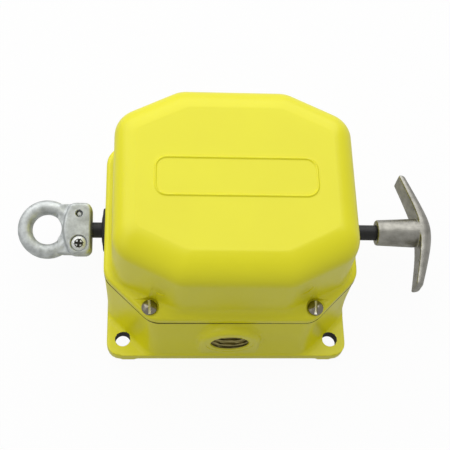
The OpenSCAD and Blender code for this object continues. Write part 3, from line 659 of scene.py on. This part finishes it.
def screw_seat(corner, z, radius):
    """The space over a cover screw, open towards the flange's corner cut."""
    far = 40 * MM
    out_x, out_y = math.copysign(1, corner.x), math.copysign(1, corner.y)
    left, right = sorted((corner.x, corner.x + far * out_x))
    front, back = sorted((corner.y - radius * out_y, corner.y + far * out_y))
    well = place(drum(radius, 0, far), Matrix.Translation((corner.x, corner.y, z)))
    return [well, block((left, front, z), (right, back, z + far))]


def label_frame(sizes):
    """The raised bead round the blank label field."""
    across = 12
    height = COVER_HIGH.z - DOME_TOP
    corner, sunk = 8 * MM, 0.4 * MM
    rings = []
    for k in range(across + 1):
        s = k / across
        shrink = sizes.frame_bead * s
        rise = height * math.sin(math.pi * s) ** 2 - 0.03 * MM
        path = rounded_rectangle(
            sizes.frame_length - 2 * shrink, sizes.frame_width - 2 * shrink, corner - shrink, 12)
        rings.append([(x, y, DOME_TOP + rise) for x, y in path])
    for edge in (rings[-1], rings[0]):
        rings.append([(x, y, DOME_TOP - sunk) for x, y, _ in edge])
    return hoop(rings, "label_frame")


class PULLSWITCH_OT_cover(bpy.types.Operator):
    """Build the cast cover with its soft corners, screw seats and blank label frame"""
    bl_idname = "pull_switch.cover"
    bl_label = "Cover"

    def execute(self, context):
        sizes = context.scene.pull_switch.casting
        flange = flange_plan(sizes)
        edge_z = DOME_TOP - sizes.dome_edge
        flange_top = COVER_LOW.z + sizes.flange_thickness
        lip = 1.5 * MM
        spare = 3 * MM
        rings = [level(flange, COVER_LOW.z - spare)]
        for k in range(4):
            a = math.radians(30 * k)
            rings.append(level(inset(flange, lip * (1 - math.cos(a))), flange_top - lip * (1 - math.sin(a))))
        rings += flare(inset(flange, lip), flange_top, sizes.dome_flare, lambda z: dome_plan(sizes, z))
        rings += rounded_edge(dome_plan(sizes, edge_z), sizes.dome_edge, sizes.dome_edge_width, edge_z)
        cover = loft(rings, "cover")
        soften(cover, sizes.grid, SMOOTH_ROUNDS)
        # machined after casting: the joint face, the hollow, the screws' seats and holes
        low = COVER_LOW.z - spare
        wall = sizes.cover_wall
        cut(cover, block((-0.1, -0.1, low - spare), (0.1, 0.1, COVER_LOW.z)))
        hollow = [level(inset(dome_plan(sizes, low), wall), low)]
        hollow += rounded_edge(
            inset(dome_plan(sizes, edge_z), wall), sizes.dome_edge - wall, sizes.dome_edge_width - wall,
            edge_z, 6)
        cut(cover, loft(hollow, "hollow"))
        seat_r, hole_r = 5.7 * MM, 3.4 * MM
        for corner in screw_places(sizes):
            cut(cover, *screw_seat(corner, flange_top, seat_r))
            cut(cover, place(drum(hole_r, low, flange_top + 4 * MM), Matrix.Translation(corner)))
        # the shallow round marks that the mould's pins left on the two front corner walls
        pin_r = 4.4 * MM
        for x, y, z, degrees in ((-44.6, -58.8, 73.5, -27), (41.1, -60.4, 80.2, 27)):
            mark = place(drum(pin_r, 0, 8 * MM, 48), Matrix.Rotation(math.pi / 2, 4, "X"))
            place(mark, Matrix.Rotation(math.radians(degrees), 4, "Z"))
            cut(cover, place(mark, Matrix.Translation((x * MM, y * MM, z * MM))))
        join(cover, label_frame(sizes))
        set_materials(cover, yellow_enamel())
        finish_piece(cover, "cast_cover", "root", "yellow_enamel", "cover")
        return {"FINISHED"}


# ---- The base housing ----------------------------------------------------------------


def thread_cutter(sizes, low, high):
    """A tapping tool: a bar along Z with the conduit thread on it."""
    around, per_turn = 96, 8
    steps = math.ceil((high - low) / sizes.thread_pitch * per_turn)
    rings = []
    for k in range(steps + 1):
        z = low + (high - low) * k / steps
        ring = []
        for i in range(around):
            a = 2 * math.pi * i / around
            phase = (z / sizes.thread_pitch - i / around) % 1
            r = CONDUIT_R + sizes.thread_depth * (1 - abs(2 * phase - 1))
            ring.append((r * math.cos(a), r * math.sin(a), z))
        rings.append(ring)
    return loft(rings, "tap")


def into_the_wall(depth):
    """Turns what stands on Z so that it runs in along the conduit's axis, from a depth in front."""
    return Matrix.Translation((0, -depth, CONDUIT_AT.z)) @ Matrix.Rotation(-math.pi / 2, 4, "X")


def conduit_hub(sizes, depth, length_in):
    """The hub round the conduit entry, from its rounded front edge inward along Z."""
    r, edge = sizes.hub_radius, sizes.hub_edge
    angles = [math.radians(15 * k) for k in range(7)]
    profile = [(r - edge + edge * math.sin(a), edge - edge * math.cos(a)) for a in angles]
    return place(turned(profile + [(r, length_in)], 96, "hub"), into_the_wall(depth))


class PULLSWITCH_OT_base(bpy.types.Operator):
    """Build the cast base with its ears, conduit hub, thread and machined bores"""
    bl_idname = "pull_switch.base"
    bl_label = "Base housing"

    def execute(self, context):
        sizes = context.scene.pull_switch.casting
        body = body_plan(sizes)
        joint_z = BASE_HIGH.z
        foot_z, pad_z = sizes.foot_thickness, sizes.pad_height
        width, depth = BASE_HIGH.x * 2, BASE_HIGH.y * 2
        corner_cut, radius = sizes.flange_corner, sizes.flange_radius
        ear_step = 1.2 * MM  # the cast ears end a little inside the foot's full width
        ear_w = width - 2 * ear_step
        foot = cut_plan(ear_w / 2 - BODY_STEP, depth / 2 - BODY_STEP, corner_cut - 2 * MM, 45, radius)
        skirt = cut_plan(ear_w / 2 - 2 * BODY_STEP, depth / 2 - 1.4 * MM, corner_cut + 1 * MM, 45, radius)

        def wall_at(z):
            return between(body, skirt, (joint_z - z) / (joint_z - foot_z))

        spare = 3 * MM
        rings = [level(foot, pad_z + 1 * MM), level(foot, foot_z)]
        rings += flare(foot, foot_z, sizes.foot_flare, wall_at)
        rings += [level(wall_at(z), z) for z in (joint_z - 8 * MM, joint_z, joint_z + spare)]
        base = loft(rings, "base")
        ears = prism(rounded_rectangle(ear_w, depth, sizes.foot_radius), pad_z, foot_z, "ears")
        hub_depth = COVER_HIGH.y + sizes.hub_proud
        hub_in = sizes.base_wall + sizes.hub_proud + 5 * MM
        web_plan = rounded_rectangle(2 * sizes.hub_radius, 2 * hub_in, sizes.hub_edge)
        web = prism([(x, y - hub_depth + hub_in) for x, y in web_plan], pad_z, CONDUIT_AT.z, "web")
        unite(base, ears, conduit_hub(sizes, hub_depth, hub_in), web)
        pad = rounded_rectangle(sizes.pad_side, sizes.pad_side, 3 * MM)
        for corner in at_corners(ear_w - sizes.pad_side, depth - sizes.pad_side):
            piece = place(prism(pad, 0, pad_z + 1 * MM, "pad"), Matrix.Translation(corner))
            ear = prism(rounded_rectangle(ear_w, depth, sizes.foot_radius), 0, pad_z + 1 * MM, "ear")
            unite(base, combine(piece, [ear], "INTERSECT"))
        for side in (-1, 1):
            start = BASE_HIGH.x - 4 * MM if side > 0 else -BASE_HIGH.x
            unite(base, place(drum(SEAL_HIGH.y + 1 * MM, 0, 4 * MM), along_x(start)))
        soften(base, sizes.grid, SMOOTH_ROUNDS)
        # machined after casting: the joint face, the hollow, the bores and the conduit entry
        cut(base, block((-0.1, -0.1, joint_z), (0.1, 0.1, joint_z + 2 * spare)))
        hole_r = BOLTS["hole_r_mm"] * MM
        bolts = at_corners(BOLTS["spacing_x_mm"] * MM, BOLTS["spacing_y_mm"] * MM)
        for corner in bolts:
            cut(base, place(drum(hole_r, -1 * MM, foot_z + 20 * MM, 48), Matrix.Translation(corner)))
        boss_l, boss_r, bushing_r = 8 * MM, 12 * MM, 8.02 * MM
        pillar_r, tapped_r, tapped_l = 7.3 * MM, 3.12 * MM, 18 * MM
        inner_x = COVER_HIGH.x - BODY_STEP - sizes.base_wall
        hollow = prism(outline(inset(body, sizes.base_wall)), foot_z, joint_z + 1 * MM, "hollow")
        for corner in screw_places(sizes):
            cut(hollow, place(drum(pillar_r, 0, joint_z + 2 * MM), Matrix.Translation(corner)))
        cut(hollow, conduit_hub(sizes, hub_depth, hub_in))
        for start in (inner_x - boss_l, -inner_x - 1 * MM):
            cut(hollow, place(drum(boss_r, 0, boss_l + 1 * MM), along_x(start)))
        cut(base, hollow)
        cut(base, place(drum(bushing_r, 0, width + 2 * MM), along_x(-width / 2 - 1 * MM)))
        for corner in screw_places(sizes):
            tapped = drum(tapped_r, joint_z - tapped_l, joint_z + 2 * MM, 48)
            cut(base, place(tapped, Matrix.Translation(corner)))
        entry = into_the_wall(hub_depth)
        cut(base, place(thread_cutter(sizes, 1.5 * MM, hub_in + 2 * MM), entry))
        mouth = turned([
            (15 * MM, -7 * MM), (15 * MM, 0.2 * MM), (CONDUIT_R + 0.6 * MM, 0.2 * MM),
            (CONDUIT_R + 0.1 * MM, 1.0 * MM), (CONDUIT_R + 0.1 * MM, 1.7 * MM)], 96, "mouth")
        cut(base, place(mouth, entry))
        set_materials(
            base, yellow_enamel(), plain_finish("bare_tapped_aluminium"), plain_finish("settled_grime"))
        finish_piece(base, "cast_base", "root", "yellow_enamel", "base_housing")
        for face in base.data.polygons:
            x, y, z = face.center
            bored = math.hypot(x, z - CONDUIT_AT.z) < CONDUIT_R + sizes.thread_depth + 0.2 * MM
            if bored and 1.1 * MM < y + hub_depth < hub_in + 1 * MM:
                face.material_index = 1
            # painted shade: the walls of the bolt holes get the dark recess material
            if any(math.hypot(x - c.x, y - c.y) < hole_r + 0.1 * MM for c in bolts) and z > 0.3 * MM:
                face.material_index = 2
        return {"FINISHED"}


# ---- The eye -------------------------------------------------------------------------


CLAMP_SCREW_IN = 8 * MM  # from the clamp's flat end to its screws
CLAMP_HEAD_DEPTH = 3.4 * MM  # from the clamp's top to the screws' seats


class PULLSWITCH_OT_eye(bpy.types.Operator):
    """Build the two halves of the cast rope eye"""
    bl_idname = "pull_switch.eye"
    bl_label = "Rope eye"

    def execute(self, context):
        finish = context.scene.pull_switch.finish
        for flip, side in enumerate(("front", "back")):
            half = place(eye_half(context.scene.pull_switch.eye), in_the_eye(flip))
            set_materials(half, cast_aluminium("tumbled_cast_aluminium", finish.aluminium, 1.0))
            finish_piece(half, f"eye_casting_{side}", "eye", "cast_aluminium", f"eye_{side}_half")
        return {"FINISHED"}


def in_the_eye(flip):
    """Sets what is built flat about the origin on the eye's centre, in front (0) or behind (1)."""
    return Matrix.Translation(EYE_AT) @ Matrix.Rotation(EYE_TURN + math.pi * flip, 4, "X")


def eye_ring(sizes):
    """Half of the round ring, cut at its split face, with a straight land in its hole."""
    land, tube = sizes.land / 2, sizes.section / 2
    mid_r = EYE_BORE_R + tube
    angles = [math.pi * k / 16 for k in range(17)]
    section = [(mid_r - tube * math.cos(a), land + tube * math.sin(a)) for a in angles]
    section = [(EYE_BORE_R, 0)] + section + [(EYE_BORE_R + sizes.section, 0)]
    steps = 120
    rings = []
    for i in range(steps):
        a = 2 * math.pi * i / steps
        rings.append([(r * math.cos(a), r * math.sin(a), z) for r, z in section])
    return hoop(rings, "ring")


def clamp_block(sizes):
    """The thick pad on the shaft: bowed towards the ring, and narrower and rounder at its top."""
    half_w, top = sizes.clamp_width / 2, sizes.clamp_thickness
    bow, bow_r = math.radians(13), 27 * MM
    crown = sizes.reach - sizes.clamp_length - 1.5 * MM
    knee = bow_r * math.tan(bow)
    at_side = (
        crown + (half_w - bow_r * math.sin(2 * bow)) * math.tan(2 * bow) + bow_r * (1 - math.cos(2 * bow)))
    corners = [
        (sizes.reach, -half_w), (sizes.reach, half_w), (at_side, half_w),
        (crown, knee), (crown, -knee), (at_side, -half_w)]
    end_r, side_r = 4.5 * MM, 5.5 * MM
    pad = rounded(corners, [end_r, end_r, side_r, bow_r, bow_r, side_r], 8)
    middle = sum(x for x, y in pad) / len(pad)
    rings = []
    for z, k in (
            (0, 1.0), (top - 1.6 * MM, 0.985), (top - 0.9 * MM, 0.965), (top - 0.3 * MM, 0.925), (top, 0.87)):
        slope = 1 - 0.16 * (z / top) ** 2
        rings.append([(middle + (x - middle) * (k if x > middle else k * slope), y * k, z) for x, y in pad])
    return loft(rings, "clamp")


def eye_half(sizes):
    """One of the two like castings: its split face lies at z = 0 and the shaft runs along +X."""
    top = sizes.clamp_thickness
    web_plan = rounded_rectangle(15 * MM, sizes.clamp_width - 1.6 * MM, 3 * MM)
    web_x = sizes.reach - sizes.clamp_length + 3.5 * MM
    web_top = (sizes.land + sizes.section) / 2 - 0.4 * MM
    half = eye_ring(sizes)
    unite(half, prism([(x + web_x, y) for x, y in web_plan], 0, web_top, "web"), clamp_block(sizes))
    cut(half, drum(EYE_BORE_R - 0.35 * MM, -1 * MM, 20 * MM, 120))
    soften(half, sizes.grid, 14)
    # machined after casting: the split face, the screws' seat and holes, and the shaft's bore
    cut(half, block((-0.05, -0.05, -0.02), (0.05, 0.05, 0)))
    seat_r, tapped_r, chamfer = 5.15 * MM, 2.15 * MM, 0.75 * MM
    screw_x = sizes.reach - CLAMP_SCREW_IN
    front = Matrix.Translation((screw_x, -sizes.screw_gap / 2, 0))
    back = Matrix.Translation((screw_x, sizes.screw_gap / 2, 0))
    for r, floor, steps, at in ((seat_r, top - CLAMP_HEAD_DEPTH, 64, front), (tapped_r, -1 * MM, 48, back)):
        seat = turned([(r, floor), (r, top - 0.5 * MM), (r + chamfer, top + 0.3 * MM)], steps, "seat")
        cut(half, place(seat, at))
    turn = Matrix.Rotation(math.pi / 2, 4, "Y")
    end, neck_r, head_r = sizes.reach, 3.5 * MM, SHAFT_R + 0.1 * MM
    for r, start, stop in ((head_r, 5.2, -2), (neck_r, 9.5, 0), (head_r, 14.2, 8.9)):
        cut(half, place(drum(r, end - start * MM, end - stop * MM, 64), turn))
    cut(half, place(drum(tapped_r, -1 * MM, 20 * MM, 48), front))
    return half


# ---- The handle ----------------------------------------------------------------------


def bar_ring(sizes, y, shrink, span):
    """The bar's D-shaped section at y: a flat inner face with sharp edges and a rolled outer face."""
    sweep = sizes.back_sweep if y > 0 else sizes.front_sweep
    share = abs(y) / (span / 2)
    slope = math.sqrt((sweep + sizes.bend) ** 2 - sizes.bend ** 2)
    drop = math.sqrt(sizes.bend ** 2 + (slope * share) ** 2) - sizes.bend
    height = sizes.mid_height + (sizes.tip_height - sizes.mid_height) * share - 2 * shrink
    thick = sizes.mid_thickness + (sizes.tip_thickness - sizes.mid_thickness) * share - 2 * shrink
    sharp = 0.6 * MM
    rolled = thick - sharp - 0.4 * MM
    x = HANDLE_HIGH.x - drop - thick - shrink
    z = SHAFT_Z + sizes.lean * y / (span / 2)
    h = height / 2
    corners = [(x, -h), (x + thick, -h), (x + thick, h), (x, h)]
    return [(px, y, z + pz) for px, pz in rounded(corners, [sharp, rolled, rolled, sharp], 7)]


class PULLSWITCH_OT_handle(bpy.types.Operator):
    """Build the cast T-handle"""
    bl_idname = "pull_switch.handle"
    bl_label = "T-handle"

    def execute(self, context):
        sizes = context.scene.pull_switch.handle
        span = HANDLE_HIGH.y - HANDLE_LOW.y
        tip = span / 2
        steps = 28
        rings = [bar_ring(sizes, -tip, 0.6 * MM, span)]
        rings += [bar_ring(sizes, (tip - 0.8 * MM) * k / steps, 0, span) for k in range(-steps, steps + 1)]
        rings.append(bar_ring(sizes, tip, 0.6 * MM, span))
        handle = loft(rings, "handle")
        hub_l = HANDLE_HIGH.x - HANDLE_LOW.x
        end = hub_l - sizes.mid_thickness + 1.5 * MM
        r = sizes.hub_diameter / 2
        hub = turned(
            [(r - 0.6 * MM, 0), (r, 0.6 * MM), (r + 1.1 * MM, end - 4 * MM), (r + 0.6 * MM, end)], 96, "hub")
        unite(handle, place(hub, along_x(HANDLE_LOW.x)))
        soften(handle, sizes.grid, 7)
        cut(handle, place(drum(SHAFT_R + 0.05 * MM, -1 * MM, 14 * MM, 64), along_x(HANDLE_LOW.x)))
        # the mould's blow holes in the front arm's inner face
        for y, z, size in ((-21, 2.6, 1.0), (-29, -1.2, 0.7), (-30.5, 3.0, 0.6)):
            inner_x = min(x for x, _, _ in bar_ring(sizes, y * MM, 0, span))
            angles = [math.radians(-80 + 20 * k) for k in range(9)]
            pit = turned([(size * MM * math.cos(a), size * MM * math.sin(a)) for a in angles], 24, "pit")
            cut(handle, place(pit, Matrix.Translation((inner_x + 0.2 * MM, y * MM, SHAFT_Z + z * MM))))
        burnished = context.scene.pull_switch.finish.burnished
        set_materials(handle, cast_aluminium("burnished_cast_aluminium", burnished, 0.7))
        finish_piece(handle, "cast_handle", "shaft", "cast_aluminium", "t_handle")
        return {"FINISHED"}


# ---- Wipers and the parts that keep their CAD shape ----------------------------------


class PULLSWITCH_OT_wipers(bpy.types.Operator):
    """Build the two rubber wiper discs"""
    bl_idname = "pull_switch.wipers"
    bl_label = "Wiper discs"

    def execute(self, context):
        r = SEAL_HIGH.y
        thick = SEAL_HIGH.x - SEAL_LOW.x
        rim = 1.9 * MM
        hole = SHAFT_R + 0.05 * MM
        profile = [
            (hole, 0), (r - 0.4 * MM, 0), (r, 0.4 * MM), (r, rim - 0.6 * MM), (r - 0.25 * MM, rim - 0.2 * MM),
            (r - 0.9 * MM, rim), (r - 3 * MM, rim + 0.15 * MM), (SHAFT_R + 3 * MM, thick - 0.1 * MM),
            (SHAFT_R + 1.5 * MM, thick), (hole + 0.3 * MM, thick - 0.15 * MM), (hole, thick - 0.5 * MM)]
        steps = 96
        for side, node in ((-1, "left_wiper_seal"), (1, "right_wiper_seal")):
            rings = []
            for i in range(steps):
                a = 2 * math.pi * i / steps
                rings.append([(out, far * math.cos(a), far * math.sin(a)) for far, out in profile])
            disc = hoop(rings, node)
            matrix = Matrix.Translation((side * SEAL_LOW.x, 0, SHAFT_Z))
            if side < 0:
                matrix = matrix @ Matrix.Rotation(math.pi, 4, "Z")
            place(disc, matrix)
            set_materials(disc, plain_finish("moulded_nitrile_rubber"))
            finish_piece(disc, node + "_rubber", "root", "black_rubber", node)
        return {"FINISHED"}


class PULLSWITCH_OT_gasket(bpy.types.Operator):
    """Build the gasket, whose squeezed edge shows as the dark joint line"""
    bl_idname = "pull_switch.gasket"
    bl_label = "Gasket"

    def execute(self, context):
        sizes = context.scene.pull_switch.casting
        outer = outline(inset(flange_plan(sizes), -0.3 * MM, 0.1 * MM), 40)
        low, high = BASE_HIGH.z, COVER_LOW.z
        rings = []
        for x, y in outer:
            a = math.atan2(y, x)
            waves = math.sin(9 * a + 1) + 0.7 * math.sin(23 * a) + 0.5 * math.sin(41 * a + 2)
            edge_y = y + math.copysign(0.1 * MM, y) * (waves - 2.2)
            back_x, back_y = 0.93 * x, 0.93 * y
            rings.append([(back_x, back_y, low), (x, edge_y, low), (x, edge_y, high), (back_x, back_y, high)])
        gasket = hoop(rings, "gasket")
        set_materials(gasket, plain_finish("rubber_bonded_cork"))
        finish_piece(gasket, "squeezed_gasket", "root", "black_rubber", "cover_gasket")
        return {"FINISHED"}


def round_head(radius, side, dome, steps=10):
    """Profile of a round screw head that stands on z = 0: a short rim, then a rolled dome."""
    ball = (radius ** 2 + dome ** 2) / (2 * dome)
    profile = [(radius - 0.25 * MM, 0), (radius, 0.25 * MM), (radius, side)]
    for k in range(1, steps + 1):
        r = 0.001 * MM + radius * math.cos(math.pi / 2 * k / steps)
        profile.append((r, side + dome - ball + math.sqrt(max(ball ** 2 - r ** 2, 0))))
    return profile


class PULLSWITCH_OT_screws(bpy.types.Operator):
    """Build the four slotted cover screws and the two cross-recessed clamp screws"""
    bl_idname = "pull_switch.screws"
    bl_label = "Screws"

    def execute(self, context):
        sizes = context.scene.pull_switch.casting
        seat_z = COVER_LOW.z + sizes.flange_thickness
        slot_turns = [94, 97, 86, 80]
        slot_w, slot_floor, shank_r = 1.5 * MM, 1.9 * MM, 3.1 * MM
        # painted highlight and shade: the slots' floors get the bright plate for the lamp's reflection in
        # them, the domes the darker copy
        plating = [plain_finish("dulled_nickel_plate"), plain_finish("bright_nickel_plate")]
        pieces = []
        for corner, degrees in zip(screw_places(sizes), slot_turns):
            screw = turned(round_head(4.7 * MM, 1.5 * MM, 2.4 * MM), 48, "head")
            cut(screw, place(
                block((-6 * MM, -slot_w / 2, slot_floor), (6 * MM, slot_w / 2, 6 * MM)),
                Matrix.Rotation(math.radians(degrees), 4, "Z")))
            set_materials(screw, *plating)
            # painted highlight: the slot floors get the bright plate
            for face in screw.data.polygons:
                if abs(face.center.z - slot_floor) < 0.05 * MM:
                    face.material_index = 1
            shank = turned([(shank_r, SCREWS_LOW.z - seat_z), (shank_r, 0.1 * MM)], 32, "shank")
            join(screw, set_materials(shank, plating[0]))
            pieces.append(place(screw, Matrix.Translation((corner.x, corner.y, seat_z))))
        join(*pieces)
        finish_piece(pieces[0], "slotted_cover_screws", "root", "plated_steel", "cover_screws")
        self.clamp_screws(context.scene.pull_switch.eye)
        return {"FINISHED"}

    def clamp_screws(self, sizes):
        """The pan heads in the eye's seats, each with a cross recess in painted shade and a chamfered end."""
        seat = sizes.clamp_thickness - CLAMP_HEAD_DEPTH
        end = seat + sizes.clamp_thickness - 1.6 * MM
        recess_w, recess_l, recess_floor = 1.6 * MM, 5.4 * MM, 1.7 * MM
        plating = [plain_finish("white_zinc_plate"), plain_finish("settled_grime")]
        pieces = []
        for flip in (0, 1):
            screw = turned(round_head(4.75 * MM, 2.2 * MM, 1.1 * MM), 64, "pan")
            for degrees in (-6, 84):
                cut(screw, place(
                    block((-recess_l / 2, -recess_w / 2, recess_floor), (recess_l / 2, recess_w / 2, 5 * MM)),
                    Matrix.Rotation(math.radians(degrees), 4, "Z")))
            set_materials(screw, *plating)
            # painted shade: the cross recess's walls and floor get the dark recess material
            for face in screw.data.polygons:
                x, y, z = face.center
                if math.hypot(x, y) < 3 * MM and 1.6 * MM < z < 3.05 * MM:
                    face.material_index = 1
            shank = turned([
                (0.9 * MM, -end), (1.5 * MM, 0.5 * MM - end), (1.6 * MM, 3 * MM - end),
                (2.0 * MM, 3.4 * MM - end), (2.0 * MM, 0.1 * MM)], 32, "shank")
            join(screw, set_materials(shank, plating[0]))
            place(screw, Matrix.Translation((sizes.reach - CLAMP_SCREW_IN, -sizes.screw_gap / 2, seat)))
            pieces.append(place(screw, in_the_eye(flip)))
        join(*pieces)
        finish_piece(pieces[0], "cross_clamp_screws", "eye", "plated_steel", "eye_clamp_screws")


class PULLSWITCH_OT_springs(bpy.types.Operator):
    """Build the two shaft springs, coiled between their seats and the collar"""
    bl_idname = "pull_switch.springs"
    bl_label = "Shaft springs"

    def execute(self, context):
        wire, turns, steps, wire_steps = 1.8 * MM, 6, 24, 12
        for node, seat_first in (("pull_spring", True), ("slack_spring", False)):
            low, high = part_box(node)
            mean_r = (high.z - low.z - wire) / 2
            closed = wire * 1.04
            pitch = (high.x - low.x - wire - 2 * closed) / (turns - 2)
            rings = []
            for k in range(turns * steps + 1):
                t = k / steps
                along = wire / 2 + closed * min(t, 1) + pitch * max(0, min(t, turns - 1) - 1)
                along += closed * max(0, t - turns + 1)
                a = 2 * math.pi * t
                ring = []
                for i in range(wire_steps):
                    b = -2 * math.pi * i / wire_steps
                    r = mean_r + wire / 2 * math.cos(b)
                    ring.append((r * math.cos(a), r * math.sin(a), along + wire / 2 * math.sin(b)))
                rings.append(ring)
            spring = place(loft(rings, "coil"), along_x(low.x))
            spring.name = node + "_coil"
            spring.data.name = spring.name
            set_materials(spring, plain_finish("drawn_spring_wire"))
            spring.data.shade_smooth()
            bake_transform(spring)
            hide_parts(node)
        return {"FINISHED"}


# The CAD nodes that keep their own shape, by finish
NODE_FINISHES = {
    "bright_nickel_plate": [
        "handle_set_screw", "trip_collar", "collar_pin", "spring_washers",
        "bracket_screws", "lever_pin", "roller_pins", "switch_screws"],
    "black_oxide_steel": ["shaft"],
    "zinc_plated_sheet": ["switch_bracket", "trip_lever"],
    "drawn_spring_wire": ["lever_pin_clip"],
    "turned_bearing_bronze": ["left_bushing", "right_bushing"],
    "moulded_phenolic": ["front_snap_switch", "rear_snap_switch"],
    "red_moulded_nylon": ["front_plunger", "rear_plunger"],
    "black_moulded_nylon": ["lever_rollers"],
    "turned_brass": ["terminal_screws"],
    "green_passivated_steel": ["ground_screw"],
}


class PULLSWITCH_OT_fittings(bpy.types.Operator):
    """Give the shaft, the fasteners and the inner mechanism their finishes"""
    bl_idname = "pull_switch.fittings"
    bl_label = "Fittings"

    def execute(self, context):
        for finish, nodes in NODE_FINISHES.items():
            for node in nodes:
                set_materials(frame["nodes"][node], plain_finish(finish))
        return {"FINISHED"}


# ---- The studio ----------------------------------------------------------------------


def lamp(name, power, at, aim, width, depth):
    """A soft rectangular lamp that looks from one point at another."""
    light = bpy.data.lights.new(name, "AREA")
    light.shape = "RECTANGLE"
    light.size = width
    light.size_y = depth
    light.energy = power
    piece = bpy.data.objects.new(name, light)
    piece.location = at
    piece.rotation_euler = (Vector(aim) - Vector(at)).to_track_quat("-Z", "Y").to_euler()
    bpy.context.scene.collection.objects.link(piece)
    return piece


MIRROR_SHARE = 0.28  # how much of the white that the camera sees is seen by metal and glass too


def is_seen(tree):
    """1 for a ray from the camera, a share for one from metal or glass, 0 for one that gathers light."""
    path = add(tree, "ShaderNodeLightPath")
    mirror = add(tree, "ShaderNodeMath", {
        0: path.outputs["Is Glossy Ray"], 1: path.outputs["Is Transmission Ray"]}, operation="MAXIMUM")
    dimmed = add(tree, "ShaderNodeMath", {0: mirror.outputs[0], 1: MIRROR_SHARE}, operation="MULTIPLY")
    seen = add(tree, "ShaderNodeMath", {
        0: path.outputs["Is Camera Ray"], 1: dimmed.outputs[0]}, operation="MAXIMUM")
    return seen.outputs[0]


class PULLSWITCH_OT_studio(bpy.types.Operator):
    """Set up the floor, the surroundings, the lamps and the camera"""
    bl_idname = "pull_switch.studio"
    bl_label = "Studio"

    def execute(self, context):
        scene = context.scene
        studio = scene.pull_switch.studio
        self.make_floor()
        self.make_world(scene, studio.sky)
        centre = Vector((0, 0, 0.06))
        lamp("key_lamp", studio.key_power, at=(-0.2, 0.95, 1.2), aim=centre, width=3.4, depth=2.2)
        lamp("side_fill", studio.fill_power, at=(-1.0, -0.2, 0.6), aim=centre, width=0.7, depth=0.7)
        self.make_camera(scene, studio)
        scene.view_settings.view_transform = "Standard"
        return {"FINISHED"}

    def make_floor(self):
        """A pale paper floor: diffuse where it gathers light, white where the camera sees it."""
        floor = new_mesh("studio_floor", [(-3, -3, 0), (3, -3, 0), (3, 3, 0), (-3, 3, 0)], [[0, 1, 2, 3]])
        place(floor, Matrix.Translation((0, 0, -0.2 * MM)))
        material = bpy.data.materials.new("pale_paper_sweep")
        material.use_nodes = True
        tree = material.node_tree
        tree.nodes.clear()
        paper = add(tree, "ShaderNodeBsdfDiffuse", {"Color": linear("#C4C4C4")})
        white = add(tree, "ShaderNodeEmission", {"Color": (1, 1, 1, 1), "Strength": 1.03})
        share = add(tree, "ShaderNodeMath", {0: is_seen(tree), 1: 0.92}, operation="MULTIPLY")
        mixed = add(tree, "ShaderNodeMixShader", {
            0: share.outputs[0], 1: paper.outputs[0], 2: white.outputs[0]})
        add(tree, "ShaderNodeOutputMaterial", {"Surface": mixed.outputs[0]})
        floor.data.materials.append(material)

    def make_world(self, scene, strength):
        """Pale surroundings that light the switch evenly and look white to the camera."""
        world = bpy.data.worlds.new("pale_studio")
        world.use_nodes = True
        tree = world.node_tree
        tree.nodes.clear()
        dim = add(tree, "ShaderNodeBackground", {"Color": (1, 1, 1, 1), "Strength": strength})
        white = add(tree, "ShaderNodeBackground", {"Color": (1, 1, 1, 1), "Strength": 1.0})
        mixed = add(tree, "ShaderNodeMixShader", {0: is_seen(tree), 1: dim.outputs[0], 2: white.outputs[0]})
        add(tree, "ShaderNodeOutputWorld", {"Surface": mixed.outputs[0]})
        scene.world = world

    def make_camera(self, scene, studio):
        """The camera, rolled a little about its own axis."""
        camera = bpy.data.objects.new("camera", bpy.data.cameras.new("camera"))
        camera.data.lens = studio.focal_length
        camera.data.sensor_width = 36
        camera.data.clip_end = 20
        at, aim = Vector(studio.camera_at), Vector(studio.camera_aim)
        level_view = (aim - at).to_track_quat("-Z", "Y").to_matrix().to_4x4()
        turn = Matrix.Rotation(studio.camera_roll, 4, "Z")
        camera.matrix_world = Matrix.Translation(at) @ level_view @ turn
        scene.collection.objects.link(camera)
        scene.camera = camera


# ---- Panel and registration ----------------------------------------------------------

PIECES = [
    PULLSWITCH_OT_cover, PULLSWITCH_OT_base, PULLSWITCH_OT_eye, PULLSWITCH_OT_handle,
    PULLSWITCH_OT_wipers, PULLSWITCH_OT_gasket, PULLSWITCH_OT_screws, PULLSWITCH_OT_springs,
    PULLSWITCH_OT_fittings, PULLSWITCH_OT_studio,
]


class PULLSWITCH_PT_panel(bpy.types.Panel):
    """Lists the pieces of the rope pull switch"""
    bl_idname = "PULLSWITCH_PT_panel"
    bl_label = "Rope pull switch"
    bl_space_type = "VIEW_3D"
    bl_region_type = "UI"
    bl_category = "Pull Switch"

    def draw(self, context):
        for piece in PIECES:
            self.layout.operator(piece.bl_idname)


CLASSES = [
    CastingSizes, EyeSizes, HandleSizes, Finishes, StudioSettings, PullSwitchSettings,
    *PIECES, PULLSWITCH_PT_panel,
]


def register():
    for cls in CLASSES:
        bpy.utils.register_class(cls)
    bpy.types.Scene.pull_switch = PointerProperty(type=PullSwitchSettings)


def unregister():
    del bpy.types.Scene.pull_switch
    for cls in reversed(CLASSES):
        bpy.utils.unregister_class(cls)


def main():
    """Builds every piece in order."""
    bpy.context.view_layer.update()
    register()
    bpy.ops.pull_switch.cover()
    bpy.ops.pull_switch.base()
    bpy.ops.pull_switch.eye()
    bpy.ops.pull_switch.handle()
    bpy.ops.pull_switch.wipers()
    bpy.ops.pull_switch.gasket()
    bpy.ops.pull_switch.screws()
    bpy.ops.pull_switch.springs()
    bpy.ops.pull_switch.fittings()
    bpy.ops.pull_switch.studio()


if __name__ == "__main__":
    main()
